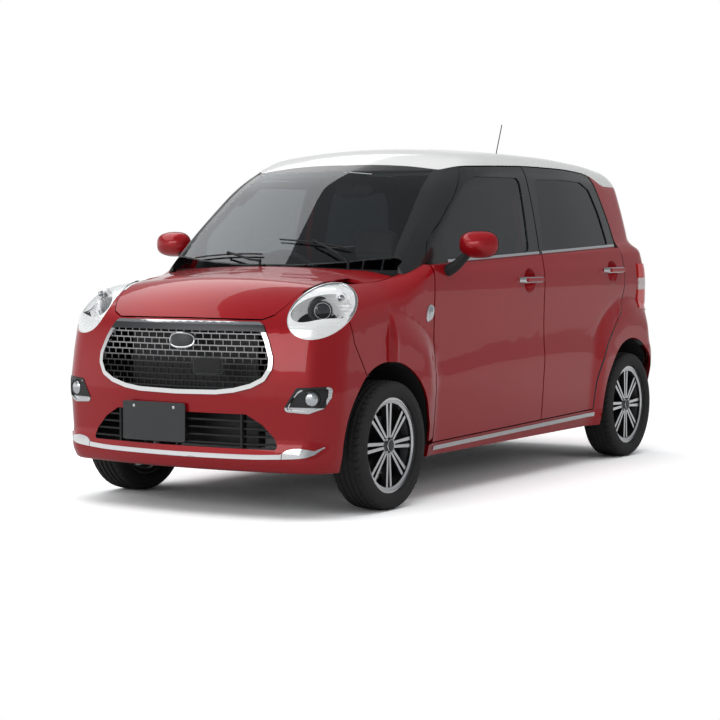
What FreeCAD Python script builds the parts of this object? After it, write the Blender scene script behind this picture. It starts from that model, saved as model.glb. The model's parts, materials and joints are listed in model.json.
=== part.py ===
"""A five-door kei car: body panels, doors, glass, lamps, cabin, running gear and wheels.

Frame: +X is the car's left, -Y its front, +Z up. The origin is on the ground, below the
middle of the overall length and width. All sizes are in millimetres.

The outer skin is two fields, one for the lower body and one for the cabin above the belt
line. A field is about zero on the skin and falls by one for each millimetre inwards, so a
panel is the space between two of its levels, trimmed by the shut lines.
"""

import FreeCAD
import Part
import math
import os

V = FreeCAD.Vector

# Overall sizes
length = 3395.0
width = 1475.0
height = 1600.0
wheelbase = 2455.0
front_overhang = 567.0
track_front = 1305.0
track_rear = 1295.0
half_width = width / 2
front_axle = front_overhang - length / 2
rear_axle = front_axle + wheelbase

# Wheels and tyres
tyre_radius = 276.0
tyre_width = 165.0
tyre_shoulder = 26.0
rim_radius = 190.5
rim_flange = 13.0
rim_wall = 9.0
rim_width = 127.0
spoke_pairs = 8
spoke_width = 15.0
spoke_depth = 24.0
spoke_spread = 13.0
hub_radius = 34.0
hub_cap_radius = 27.0
disc_radius = 120.0
disc_thickness = 18.0

# Skin thicknesses, gaps and clearances
panel_gap = 6.0
door_gap = 9.0
seat_gap = 0.3
overrun = 40.0
door_thickness = 70.0
sash_thickness = 26.0
sash_recess = 3.0
glass_recess = 9.0
glass_thickness = 5.0
roof_thickness = 24.0
hood_thickness = 18.0
fender_thickness = 9.0
bumper_thickness = 11.0
quarter_thickness = 34.0
tailgate_thickness = 42.0
tailgate_gap = 12.0
frame_wall = 34.0
frame_clearance = 9.0
sill_wall = 106.0
trim_height = 6.0

# Shut lines in the side view
door_front_cut = -755.0
door_middle_cut = 322.0
belt_height = 1064.0
belt_rise = 0.0366
sill_height = 262.0
sill_rise = 0.0164
sill_bottom = 196.0
cabin_half_width = 588.0
header_line = -385.0
tailgate_top_line = 1436.0
bumper_top_rear = 585.0

# Wheel arches
arch_radius = 356.0
arch_half_length = 334.0
front_arch_shift = -17.0
rear_arch_shift = -4.0
flare_height = 27.0
flare_fade = 150.0
flare_front_end = -700.0
flare_rear_start = 850.0
flare_shares = ((1.0, 0.93), (1.14, 1.0), (1.28, 0.97), (1.36, 0.82), (1.46, 0.50),
                (1.55, 0.12), (1.60, -0.09), (1.66, -0.03), (1.74, 0.0))

# Section of the lower body: height share, half-width share
side_shares = ((0.100, 0.911), (0.125, 0.927), (0.163, 0.945), (0.213, 0.956), (0.281, 0.965),
               (0.350, 0.974), (0.400, 0.967), (0.463, 0.9645), (0.525, 0.967), (0.581, 0.9715),
               (0.616, 0.969), (0.644, 0.959), (0.675, 0.946), (0.719, 0.922), (0.85, 0.85))
# Plan of the side: length share, half-width share taken off
side_taper_shares = ((-0.5, 0.012), (-0.44, 0.006), (-0.333, 0.004), (-0.20, 0.002), (0.0, 0.0),
                     (0.20, 0.001), (0.39, 0.004), (0.45, 0.008), (0.5, 0.020))
# Height of the crease low on the doors: length share, height share
crease_shares = ((-0.5, 0.325), (-0.20, 0.330), (-0.05, 0.352), (0.15, 0.361), (0.24, 0.355),
                 (0.30, 0.330), (0.5, 0.33))
crease_level_share = 0.350
# Nose profile: height share, length share back from the tip
nose_shares = ((0.10, 0.0180), (0.119, 0.0085), (0.134, 0.0024), (0.153, 0.0), (0.172, 0.0012),
               (0.206, 0.0045), (0.263, 0.0042), (0.303, 0.0036), (0.35, 0.0047), (0.40, 0.0077),
               (0.45, 0.0124), (0.50, 0.0194), (0.55, 0.032), (0.60, 0.050), (0.65, 0.074), (0.8, 0.16))
nose_bow_share = 0.0153
nose_bow_reach = 505.0
# Tail profile: height share, length share forward from the tip
tail_shares = ((0.10, 0.020), (0.125, 0.009), (0.163, 0.0024), (0.213, 0.0), (0.288, 0.0),
               (0.35, 0.0024), (0.388, 0.0085), (0.438, 0.011), (0.563, 0.0141), (0.656, 0.0194),
               (0.713, 0.027), (0.781, 0.041), (0.9, 0.08))
tail_bow_share = 0.0068
tail_bow_reach = 560.0
# Hood and belt deck along the centre line: length share, height share
hood_shares = ((-0.5, 0.575), (-0.47, 0.590), (-0.44, 0.603), (-0.41, 0.614), (-0.35, 0.632),
               (-0.294, 0.648), (-0.265, 0.660), (-0.224, 0.692), (-0.147, 0.731), (0.0, 0.744), (0.5, 0.765))
hood_crown = 50.0
hood_crown_reach = 600.0
nose_corner = 120.0
hood_edge = 150.0
shoulder_round = 45.0
tail_corner = 110.0
# Cabin section: height share, half-width share
cabin_side_shares = ((0.60, 0.960), (0.666, 0.938), (0.75, 0.9065), (0.825, 0.8735), (0.90, 0.834),
                     (0.9375, 0.810), (1.0, 0.762), (1.1, 0.68))
cabin_taper_shares = ((-0.30, 0.100), (-0.20, 0.024), (-0.12, 0.010), (0.0, 0.0), (0.18, 0.0),
                      (0.32, 0.013), (0.41, 0.036), (0.5, 0.09))
roof_shares = ((-0.30, 0.900), (-0.18, 0.935), (-0.113, 0.962), (-0.06, 0.983), (0.0, 0.9945),
               (0.09, 1.0), (0.20, 0.998), (0.32, 0.987), (0.41, 0.968), (0.5, 0.94))
roof_crown = 28.0
roof_crown_reach = 450.0
roof_round = 105.0
screen_foot = -1022.0
screen_foot_height = 1036.0
screen_angle = 37.0
screen_bow = 46.0
screen_bow_reach = 560.0
screen_corner = 95.0
header_round = 130.0
backlight_foot = 1606.0
backlight_foot_height = 1140.0
backlight_angle = 76.0
backlight_bow = 42.0
backlight_corner = 120.0
backlight_round = 60.0


def curve(table, t):
    """Smooth value of a table of (place, value) pairs, level beyond its ends."""
    if t <= table[0][0]:
        return table[0][1]
    if t >= table[-1][0]:
        return table[-1][1]
    k = 0
    while t > table[k + 1][0]:
        k += 1
    (x0, y0), (x1, y1) = table[k], table[k + 1]
    slope = (y1 - y0) / (x1 - x0)

    def tangent(i):
        if i == 0 or i == len(table) - 1:
            return slope
        a = (table[i][1] - table[i - 1][1]) / (table[i][0] - table[i - 1][0])
        b = (table[i + 1][1] - table[i][1]) / (table[i + 1][0] - table[i][0])
        return 0.0 if a * b <= 0 else 2 * a * b / (a + b)

    h = x1 - x0
    s = (t - x0) / h
    m0, m1 = tangent(k), tangent(k + 1)
    return ((1 + 2 * s) * (1 - s) ** 2 * y0 + s * (1 - s) ** 2 * h * m0
            + s * s * (3 - 2 * s) * y1 - s * s * (1 - s) * h * m1)


def ease(t):
    """Smooth step from 0 at t = 0 to 1 at t = 1."""
    t = min(1.0, max(0.0, t))
    return t * t * (3 - 2 * t)


round_power = 2.3


def round_over(a, b, radius):
    """The larger of two distances, with the edge where they meet rounded over."""
    if a > -radius and b > -radius:
        return ((a + radius) ** round_power + (b + radius) ** round_power) ** (1 / round_power) - radius
    return max(a, b)


def belt(y):
    return belt_height + belt_rise * y


def sill(y):
    return sill_height + sill_rise * y


def flare(y, z):
    """How far the wheel-arch flares stand out from the side."""
    total = 0.0
    for axle in (front_axle, rear_axle):
        r = math.hypot(y - axle, max(0.0, z - tyre_radius)) / arch_radius
        total += flare_height * curve(flare_shares, r)
    if y > front_axle and y < (front_axle + rear_axle) / 2:
        total *= ease((flare_front_end - y) / flare_fade)
    elif y < rear_axle:
        total *= ease((y - flare_rear_start) / flare_fade)
    return total


def body_side(y, z):
    """Half-width of the lower body."""
    rise = curve(crease_shares, y / length) - crease_level_share
    share = z / height
    share -= rise * math.exp(-((share - crease_level_share) / 0.09) ** 2)
    return (half_width * (curve(side_shares, share) - curve(side_taper_shares, y / length))
            + flare(y, z))


def nose(s, z):
    return -length / 2 + length * (curve(nose_shares, z / height)
                                   + nose_bow_share * (s / nose_bow_reach) ** 2)


def tail(s, z):
    return length / 2 - length * (curve(tail_shares, z / height)
                                  + tail_bow_share * (s / tail_bow_reach) ** 2)


def deck(s, y):
    return height * curve(hood_shares, y / length) - hood_crown * (s / hood_crown_reach) ** 2


def walls(x, y, z):
    """Field of the lower body's sides, nose and tail, open at the top."""
    s = abs(x)
    field = round_over(s - body_side(y, z), nose(s, z) - y, nose_corner)
    return round_over(field, y - tail(s, z), tail_corner)


def lower_body(x, y, z):
    """The walls with the hood's and the fenders' top over them."""
    radius = hood_edge + (shoulder_round - hood_edge) * ease((y - front_axle) / arch_radius)
    return round_over(walls(x, y, z), z - deck(abs(x), y), radius)


def cabin(x, y, z):
    s = abs(x)
    side = s - half_width * (curve(cabin_side_shares, z / height) - curve(cabin_taper_shares, y / length))
    tilt = math.radians(screen_angle)
    screen = ((screen_foot - y) * math.sin(tilt) + (z - screen_foot_height) * math.cos(tilt)
              + screen_bow * (s / screen_bow_reach) ** 2)
    lean = math.radians(backlight_angle)
    back = ((y - backlight_foot) * math.sin(lean) + (z - backlight_foot_height) * math.cos(lean)
            + backlight_bow * (s / screen_bow_reach) ** 2)
    top = z - height * curve(roof_shares, y / length) + roof_crown * (s / roof_crown_reach) ** 2
    field = round_over(side, screen, screen_corner)
    field = round_over(field, back, backlight_corner)
    edge = roof_round + (header_round - roof_round) * ease((header_line + arch_radius - y) / arch_radius)
    edge += (backlight_round - roof_round) * ease((y - rear_axle) / arch_radius)
    return round_over(field, top, edge)


def meet(field, level, seat, aim):
    """The point where the ray from seat along aim reaches a level of a field."""
    low, high = 0.0, length
    f_low = field(*seat) - level
    point = seat + aim * high
    f_high = field(*point) - level
    side = 0
    for _ in range(60):
        t = (low * f_high - high * f_low) / (f_high - f_low)
        point = seat + aim * t
        f = field(*point) - level
        if abs(f) < 1e-4:
            break
        if f * f_high > 0:
            high, f_high = t, f
            if side == 1:
                f_low /= 2
            side = 1
        else:
            low, f_low = t, f
            if side == -1:
                f_high /= 2
            side = -1
    return point


def surface(field, level, ray, nu, nv):
    """Smooth surface through the points where a grid of rays reaches a level of a field."""
    rows = [[meet(field, level, *ray(i / (nu - 1), j / (nv - 1))) for j in range(nv)]
            for i in range(nu)]
    made = Part.BSplineSurface()
    made.interpolate(rows)
    return made


def slab(field, outer, inner, ray, nu, nv):
    """Closed solid between two levels of a field, over a grid of rays."""
    a = surface(field, outer, ray, nu, nv)
    b = surface(field, inner, ray, nu, nv)
    u0, u1, v0, v1 = a.bounds()
    faces = [a.toShape(), b.toShape()]
    for edge_a, edge_b in ((a.uIso(u0), b.uIso(u0)), (a.uIso(u1), b.uIso(u1)),
                           (a.vIso(v0), b.vIso(v0)), (a.vIso(v1), b.vIso(v1))):
        faces.append(Part.makeRuledSurface(edge_a.toShape(), edge_b.toShape()))
    return as_solid(faces)


def as_solid(faces):
    shell = Part.makeShell(faces)
    shell.sewShape()
    solid = Part.makeSolid(shell)
    if solid.Volume < 0:
        solid.reverse()
    return solid


def place(view, a, b):
    """A point of a view: side is (y, z), front is (x, z), top is (x, y)."""
    return {"side": V(0, a, b), "front": V(a, 0, b), "top": V(a, b, 0)}[view]


def rounded(view, points, radii):
    """Closed wire of straight runs with rounded corners."""
    n = len(points)
    radii = radii if isinstance(radii, (list, tuple)) else [radii] * n
    corners = [place(view, *p) for p in points]
    cuts = []
    for k in range(n):
        p, before, after = corners[k], corners[k - 1], corners[(k + 1) % n]
        to_a, to_b = (before - p), (after - p)
        la, lb = to_a.Length, to_b.Length
        to_a.normalize()
        to_b.normalize()
        half = to_a.getAngle(to_b) / 2
        reach = min(radii[k] / math.tan(half), 0.48 * la, 0.48 * lb)
        bis = (to_a + to_b)
        bis.normalize()
        r = reach * math.tan(half)
        centre = p + bis * (r / math.sin(half))
        cuts.append((p + to_a * reach, centre - bis * r, p + to_b * reach, r))
    edges = []
    for k in range(n):
        a, m, b, r = cuts[k]
        if r > 1e-6:
            edges.append(Part.Arc(a, m, b).toShape())
        edges.append(Part.LineSegment(b, cuts[(k + 1) % n][0]).toShape())
    return Part.Wire(edges)


def prism(wire, start, end):
    """Solid over a flat wire of a view, from start to end along the view's own direction."""
    face = Part.Face(wire)
    normal = face.normalAt(0, 0)
    along = V(abs(round(normal.x)), abs(round(normal.y)), abs(round(normal.z)))
    face.translate(along * start)
    return face.extrude(along * (end - start))


def box(x0, x1, y0, y1, z0, z1):
    return Part.makeBox(x1 - x0, y1 - y0, z1 - z0, V(x0, y0, z0))


def rod(start, end, radius):
    """Round bar between two points."""
    return Part.makeCylinder(radius, (end - start).Length, start, end - start)


def mirrored(shape):
    return shape.mirror(V(0, 0, 0), V(1, 0, 0))


def both(shape):
    """A shape and its mirror image on the other side of the car."""
    return Part.makeCompound(shape.Solids + mirrored(shape).Solids)


def merge(shapes):
    made = shapes[0].fuse(shapes[1:])
    return made.removeSplitter()


nodes = {}


def keep(name, shape):
    nodes[name] = shape


# Rays; a sweep gives their axis, the first and last angle, and then the reach along the axis


def side_ray(y0, y1, z0, z1):
    """Rays along +X over a four-sided region: y0, y1 are functions of z share, z0, z1 of y."""

    def ray(u, v):
        y_low, y_high = y0(v), y1(v)
        y = y_low + (y_high - y_low) * u
        z = z0(y) + (z1(y) - z0(y)) * v
        return V(0, y, z), V(1, 0, 0)

    return ray


def corner_ray(x, y, a0, a1, z0, z1):
    """Level rays fanned about an upright axis; angle 0 looks forward, 90 to the left."""

    def ray(u, v):
        a = math.radians(a0 + (a1 - a0) * u)
        return V(x, y, z0 + (z1 - z0) * v), V(math.sin(a), -math.cos(a), 0)

    return ray


def roll_ray(x, z, a0, a1, y0, y1):
    """Rays fanned about a lengthwise axis; angle 0 looks up, 90 to the left."""

    def ray(u, v):
        a = math.radians(a0 + (a1 - a0) * u)
        return V(x, y0 + (y1 - y0) * v, z), V(math.sin(a), 0, math.cos(a))

    return ray


def pitch_ray(y, z, a0, a1, x0, x1):
    """Rays fanned about a crosswise axis; angle 0 looks forward, 90 up."""

    def ray(u, v):
        a = math.radians(a0 + (a1 - a0) * v)
        return V(x0 + (x1 - x0) * u, y, z), V(0, -math.cos(a), math.sin(a))

    return ray


# Outlines in the side view, as (share of length, share of height)
roof_edge_shares = ((-0.125, 0.903), (-0.092, 0.925), (-0.073, 0.932), (-0.028, 0.936), (0.03, 0.940),
                    (0.126, 0.9445), (0.226, 0.943), (0.295, 0.935), (0.326, 0.9235), (0.341, 0.905),
                    (0.371, 0.8935), (0.45, 0.8935))
front_sash_shares = ((0.0, -0.2224), (0.06, -0.2212), (0.245, -0.2109), (0.48, -0.1715),
                     (0.71, -0.1346), (1.0, -0.0765))
rear_sash_shares = ((0.0, 0.3710), (0.17, 0.3622), (0.35, 0.3560), (0.60, 0.3440), (0.80, 0.3325),
                    (1.0, 0.3170))
rear_door_shares = ((0.0, 0.2655), (0.14, 0.2685), (0.26, 0.2770), (0.38, 0.2940), (0.48, 0.3180),
                    (0.57, 0.3470), (0.67, 0.3670), (0.80, 0.3745), (1.0, 0.3710))
front_window_shares = ((-0.1755, 0.665), (-0.1765, 0.716), (-0.165, 0.744), (-0.134, 0.795),
                       (-0.0915, 0.867), (-0.074, 0.894), (-0.056, 0.902), (0.072, 0.905), (0.063, 0.684))
rear_window_shares = ((0.106, 0.6885), (0.119, 0.903), (0.205, 0.907), (0.276, 0.903), (0.303, 0.880),
                      (0.322, 0.806), (0.337, 0.716), (0.338, 0.7045))
window_corner = 34.0


def roof_edge(y):
    return height * curve(roof_edge_shares, y / length)


def along(table):
    """Function from a share up a door to a place along the car."""
    return lambda v: length * curve(table, v)


def side_points(table):
    return [(length * a, height * b) for a, b in table]


def flat(value):
    return lambda _: value


def grow(wire, distance):
    """A flat wire moved outwards, or inwards where the distance is below zero."""
    return wire.makeOffset2D(distance)


# The body side as one skin from the sill to the roof
belt_blend = 70.0


def whole_side(x, y, z):
    share = ease((z - belt(y) + belt_blend / 2) / belt_blend)
    if share == 0:
        return walls(x, y, z)
    if share == 1:
        return cabin(x, y, z)
    return walls(x, y, z) * (1 - share) + cabin(x, y, z) * share


frame_depth = door_thickness + frame_clearance
frame_blend = 80.0
frame_sash_depth = sash_recess + sash_thickness + frame_clearance


def frame_skin(x, y, z):
    """The skin on which the door frame lies, below the doors' inner faces."""
    line = belt(y)
    share = ease((z - line) / frame_blend)
    lower = walls(x, y, min(z, line)) + frame_depth
    if share == 0:
        return lower
    return lower * (1 - share) + (cabin(x, y, z) + frame_sash_depth) * share


# Wheel arches
def arch(axle, shift, less=0.0):
    """Closed outline of a wheel arch: half an ellipse with straight legs to below the sill."""
    y = axle + shift
    a, b = arch_half_length - less, arch_radius - less
    steps = 7
    top = []
    for k in range(2 * steps + 1):
        t = math.pi * k / (2 * steps)
        top.append(V(0, y - a * math.cos(t), tyre_radius + b * math.sin(t)))
    bow = Part.BSplineCurve()
    bow.interpolate(top, InitialTangent=V(0, 0, 1), FinalTangent=V(0, 0, -1))
    foot = V(0, y + a, 0)
    heel = V(0, y - a, 0)
    return Part.Wire([bow.toShape(), Part.LineSegment(top[-1], foot).toShape(),
                      Part.LineSegment(foot, heel).toShape(), Part.LineSegment(heel, top[0]).toShape()])


front_arch = arch(front_axle, front_arch_shift)
rear_arch = arch(rear_axle, rear_arch_shift)


# Doors
handle_length = 205.0
handle_rod = 11.0
handle_rise = 27.0
handle_dish = 62.0
handle_dish_depth = 24.0
front_handle = (161.0, 958.0)
rear_handle = (1118.0, 993.0)


def lower_door(y0, y1):
    ray = side_ray(y0, y1, lambda y: sill(y) + panel_gap, belt)
    return slab(walls, 0.0, -door_thickness, ray, 26, 26)


def sash(y0, y1, outer=-sash_recess, thick=sash_thickness):
    ray = side_ray(y0, y1, lambda y: belt(y) - panel_gap, lambda y: roof_edge(y) - panel_gap)
    return slab(cabin, outer, outer - thick, ray, 22, 16)


def on_skin(field, y, z, level=0.0):
    return meet(field, level, V(0, y, z), V(1, 0, 0))


def handle(place_yz):
    """Grip across a round dish in the door, with a foot at each end."""
    y, z = place_yz
    ends = [on_skin(walls, y + s * handle_length / 2, z) for s in (-1, 1)]
    out = V(handle_rise, 0, 0)
    inner = [e + (ends[1 - k] - e) * (handle_rod / handle_length) * 2 for k, e in enumerate(ends)]
    path = [ends[0] - out / 2, inner[0] + out, inner[1] + out, ends[1] - out / 2]
    grip = [rod(path[k], path[k + 1], handle_rod) for k in range(3)]
    grip += [Part.makeSphere(handle_rod, p) for p in path[1:3]]
    return grip


def dish(place_yz):
    y, z = place_yz
    centre = on_skin(walls, y, z)
    ball = (handle_dish ** 2 + handle_dish_depth ** 2) / (2 * handle_dish_depth)
    return Part.makeSphere(ball, centre + V(ball - handle_dish_depth, 0, 0))


def window(table, less=0.0):
    wire = rounded("side", side_points(table), window_corner)
    return grow(wire, -less) if less else wire


def door(lower, upper, table, place_yz):
    hole = prism(window(table), 0.0, width)
    made = lower.cut(dish(place_yz))
    made = made.fuse([upper.cut(hole)] + handle(place_yz))
    return made.removeSplitter() if len(made.Solids) > 1 else made


def glass(table, y0, y1):
    return sash(y0, y1, -glass_recess, glass_thickness).common(prism(window(table, seat_gap), 0.0, width))


half_gap = panel_gap / 2
half_door_gap = door_gap / 2
front_sash = along(front_sash_shares)
rear_sash = along(rear_sash_shares)
front_lower = lower_door(flat(door_front_cut + half_door_gap), flat(door_middle_cut - half_door_gap))
front_upper = sash(lambda v: front_sash(v) + half_door_gap, flat(door_middle_cut - half_door_gap))
front_door = door(front_lower, front_upper, front_window_shares, front_handle)
rear_lower_edge = along(rear_door_shares)
rear_lower = lower_door(flat(door_middle_cut + half_door_gap), lambda v: rear_lower_edge(v) - half_door_gap)
rear_upper = sash(flat(door_middle_cut + half_door_gap), lambda v: rear_sash(v) - half_door_gap)
rear_door = door(rear_lower, rear_upper, rear_window_shares, rear_handle)
front_glass = glass(front_window_shares, lambda v: front_sash(v) + half_gap, flat(door_middle_cut))
rear_glass = glass(rear_window_shares, flat(door_middle_cut), lambda v: rear_sash(v) - half_gap)
keep("front_door_left", front_door)
keep("rear_door_left", rear_door)
keep("front_glass_left", front_glass)
keep("rear_glass_left", rear_glass)


# Windscreen, its pillars and the body side frame
aperture_corner = 60.0
front_aperture_shares = ((-0.2035, 0.189), (-0.2035, 0.690), (-0.150, 0.780), (-0.080, 0.875),
                         (0.0735, 0.880), (0.0735, 0.189))
rear_aperture_shares = ((0.1165, 0.189), (0.1165, 0.882), (0.285, 0.877), (0.3325, 0.730),
                        (0.3385, 0.620), (0.318, 0.540), (0.272, 0.400), (0.252, 0.300), (0.247, 0.189))
frame_front_shares = ((0.0, -0.2300), (0.60, -0.2300), (0.68, -0.2220), (0.80, -0.1780), (0.93, -0.1200),
                      (1.0, -0.0860))
frame_rear_edge = 0.3735 * length
frame_top = 58.0
screen_shares = ((0.0, -0.2990), (0.10, -0.2955), (0.152, -0.2860), (0.180, -0.2715), (0.1815, -0.2600),
                 (0.1760, -0.2147), (0.1679, -0.1617), (0.1560, -0.1060), (0.150, -0.1000),
                 (0.10, -0.1010), (0.0, -0.1065))
pillar_top_shares = ((-0.073, 0.932), (-0.092, 0.925), (-0.125, 0.903), (-0.18, 0.90), (-0.2665, 0.72),
                     (-0.2665, 0.60), (-0.2236, 0.60))


def mirrored_outline(view, half):
    """Closed wire through a half outline, from middle to middle, and its mirror image."""
    points = half + [(-a, b) for a, b in reversed(half) if abs(a) > 1e-9]
    return [place(view, *p) for p in points]


def polygon(points):
    return Part.makePolygon(points + points[:1])


screen_half = [(length * a, length * b) for a, b in screen_shares]
screen_wire = polygon(mirrored_outline("top", screen_half))


def sky_ray(x0, x1, y0, y1, z):
    """Upright rays over a rectangle in the top view."""

    def ray(u, v):
        return V(x0 + (x1 - x0) * u, y0 + (y1 - y0) * v, z), V(0, 0, 1)

    return ray


screen_reach = length * 0.1815
screen_y_shares = (-0.299, -0.0985)
screen_under = 150.0
screen_sink = 1.0
screen_rays = sky_ray(-screen_reach, screen_reach, length * screen_y_shares[0], length * screen_y_shares[1],
                      belt_height - screen_under)
windscreen = slab(cabin, -screen_sink, -screen_sink - glass_thickness, screen_rays, 26, 22)
windscreen = windscreen.common(prism(screen_wire, 0.0, 2 * height))
keep("windscreen", windscreen)
screen_cut = prism(grow(screen_wire, seat_gap), 0.0, 2 * height)


def sash_line(gap):
    """Points down the front door's sash, moved forward by a gap."""
    made = []
    steps = 8
    for k in range(steps + 1):
        v = 1 - k / steps
        y = front_sash(v)
        made.append((y - gap, belt(y) - panel_gap + (roof_edge(y) - belt(y)) * v))
    return made


# The block below the fender's skin, for trimming what it covers
fender_sweep = (330.0, 640.0, 22.0, 134.0, -1495.0, -752.0)
fender_rays = roll_ray(*fender_sweep)
front_block_depth = 320.0
front_block = slab(lower_body, seat_gap, -front_block_depth, fender_rays, 26, 30)

pillar_sweep = (260.0, 880.0, 20.0, 88.0, -1000.0, -235.0)
pillar_rays = roll_ray(*pillar_sweep)
pillar_side = [place("side", *p) for p in sash_line(half_door_gap) + side_points(pillar_top_shares)[::-1]]
pillar = slab(cabin, 0.0, seat_gap - frame_sash_depth, pillar_rays, 16, 26)
pillar = pillar.common(prism(polygon(pillar_side), 0.0, width)).cut([screen_cut, front_block])
keep("screen_pillar_left", pillar)

frame_rays = side_ray(along(frame_front_shares), flat(frame_rear_edge), lambda y: sill(y) + seat_gap,
                      lambda y: roof_edge(y) - frame_top)
liner_lap = 4.0
liner_wall = 6.0
liner_edge = liner_lap + liner_wall + seat_gap
arch_cuts = [prism(arch(front_axle, front_arch_shift, -liner_edge), 0.0, width),
             prism(arch(rear_axle, rear_arch_shift, -liner_edge), 0.0, width)]
ring = slab(frame_skin, 0.0, -frame_wall, frame_rays, 36, 36)
ring = ring.cut([prism(rounded("side", side_points(t), aperture_corner), 0.0, width)
                 for t in (front_aperture_shares, rear_aperture_shares)])
ring = ring.cut([arch_cuts[1], box(0.0, cabin_half_width + seat_gap, -length, length, 0.0, sill_height + 2 * overrun)])
striker_radius = 7.0
striker_height = 0.545
striker_back = 62.0
rear_striker_share = 0.3500
strikers = []
for y in (door_middle_cut - striker_back, length * rear_striker_share):
    z = height * striker_height
    inner = on_skin(walls, y, z, -door_thickness - seat_gap - striker_radius * 0.13)
    strikers.append(rod(inner, inner - V(frame_wall, 0, 0), striker_radius))
ring = ring.fuse(strikers)
keep("side_frame_left", ring)
sill_rays = side_ray(flat(length * -0.2410), flat(length * 0.2960), flat(sill_bottom), sill)
rocker = slab(walls, 0.0, -sill_wall, sill_rays, 30, 8).cut(arch_cuts)
rocker = rocker.cut(box(0.0, cabin_half_width + seat_gap, -length, length, 0.0, height))
keep("sill_left", rocker)

# Roof
roof_sweep = (0.0, 1060.0, -66.0, 66.0, -430.0, 1460.0)
roof_rays = roll_ray(*roof_sweep)
roof_side = [(length * a, height * b) for a, b in roof_edge_shares]
roof_front = [(roof_side[0][0] - overrun, roof_side[0][1]), (roof_side[0][0] - overrun, height * 1.1),
              (tailgate_top_line, height * 1.1), (tailgate_top_line, roof_side[-1][1])]


def edge_run(y0, y1, count):
    """Points along the lower edge of the roof."""
    return [(y0 + (y1 - y0) * k / count, roof_edge(y0 + (y1 - y0) * k / count)) for k in range(count + 1)]


roof_line = Part.BSplineCurve()
roof_line.interpolate([place("side", *p) for p in edge_run(roof_side[0][0], tailgate_top_line, 24)])
roof_top = [place("side", *p) for p in (edge_run(roof_side[0][0], tailgate_top_line, 24)[0],
                                         roof_front[1], roof_front[2],
                                         (tailgate_top_line, roof_edge(tailgate_top_line)))]
roof_region = Part.Wire([roof_line.toShape()]
                        + [Part.LineSegment(roof_top[k + 1], roof_top[k]).toShape() for k in (2, 1, 0)])
roof_prism = prism(roof_region, -half_width, half_width)
roof = slab(cabin, 0.0, -roof_thickness, roof_rays, 36, 36).common(roof_prism).cut(screen_cut)
keep("roof_panel", roof)

# Rear quarter panels
tailgate_shares = ((0.338, 0.350), (0.342, 0.62), (0.338, 0.70), (0.318, 0.83), (0.300, 0.885),
                   (0.275, 0.925), (0.245, 0.965))


def tailgate_outline(gap):
    half = [(width * a + gap, height * b) for a, b in tailgate_shares]
    half = half + [(half[-1][0], 2 * height)]
    return polygon([place("front", *p) for p in half] + [place("front", -a, b) for a, b in reversed(half)])


def quarter_line(gap):
    """Shut line of the rear door from the sill to the roof, moved rearwards by a gap."""
    made = []
    for k in range(13):
        v = k / 12
        y = rear_lower_edge(v)
        made.append((y + gap, sill(y) + seat_gap + (belt(y) - sill(y)) * v))
    for k in range(1, 8):
        v = k / 7
        y = rear_sash(v)
        made.append((y + gap, belt(y) + (roof_edge(y) - belt(y)) * v))
    return made


quarter_sweep = (150.0, 1150.0, 60.0, 142.0)
quarter_under = 10.0
quarter_high = 1505.0
quarter_rays = corner_ray(*quarter_sweep, sill_height - quarter_under, quarter_high)
quarter_front = quarter_line(half_door_gap)
quarter_top = [(quarter_front[-1][0] - overrun, height * 0.96), (length * 0.45, height * 0.96)]
quarter_end = [(length * 0.52, quarter_top[-1][1]), (length * 0.52, bumper_top_rear), (rear_axle, bumper_top_rear),
               (rear_axle, sill(rear_axle) + seat_gap)]
quarter_side = polygon([place("side", *p) for p in quarter_front + quarter_top + quarter_end])
quarter = slab(whole_side, 0.0, -quarter_thickness, quarter_rays, 40, 44)
quarter = quarter.common(prism(quarter_side, 0.0, width))
quarter = quarter.cut([prism(rear_arch, 0.0, width), prism(tailgate_outline(tailgate_gap), 0.0, length), roof_prism])
keep("quarter_left", quarter)


# Tailgate with its window, hung from the roof's rear edge
tailgate_window_shares = ((-0.300, 0.715), (-0.272, 0.850), (-0.245, 0.905), (0.245, 0.905), (0.272, 0.850),
                          (0.300, 0.715))
tailgate_window_corner = 55.0
tailgate_sweep = (1150.0, 1090.0, 117.0, 226.0)
tailgate_rays = pitch_ray(*tailgate_sweep, -width * 0.42, width * 0.42)


def front_points(table):
    return [(width * a, height * b) for a, b in table]


def tailgate_slab(outer, thick):
    return slab(whole_side, outer, outer - thick, tailgate_rays, 32, 44)


tailgate_hole = rounded("front", front_points(tailgate_window_shares), tailgate_window_corner)
tailgate_keep = prism(tailgate_outline(0.0), rear_axle, length)
tailgate = tailgate_slab(0.0, tailgate_thickness).common(tailgate_keep)
tailgate = tailgate.common(box(-half_width, half_width, tailgate_top_line + tailgate_gap, length,
                               bumper_top_rear + panel_gap, 2 * height))
tailgate = tailgate.cut(prism(tailgate_hole, rear_axle, length))
keep("tailgate", tailgate)
tailgate_glass = tailgate_slab(-glass_recess, glass_thickness)
tailgate_glass = tailgate_glass.common(prism(grow(tailgate_hole, -seat_gap), rear_axle, length))
keep("tailgate_glass", tailgate_glass)

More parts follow.
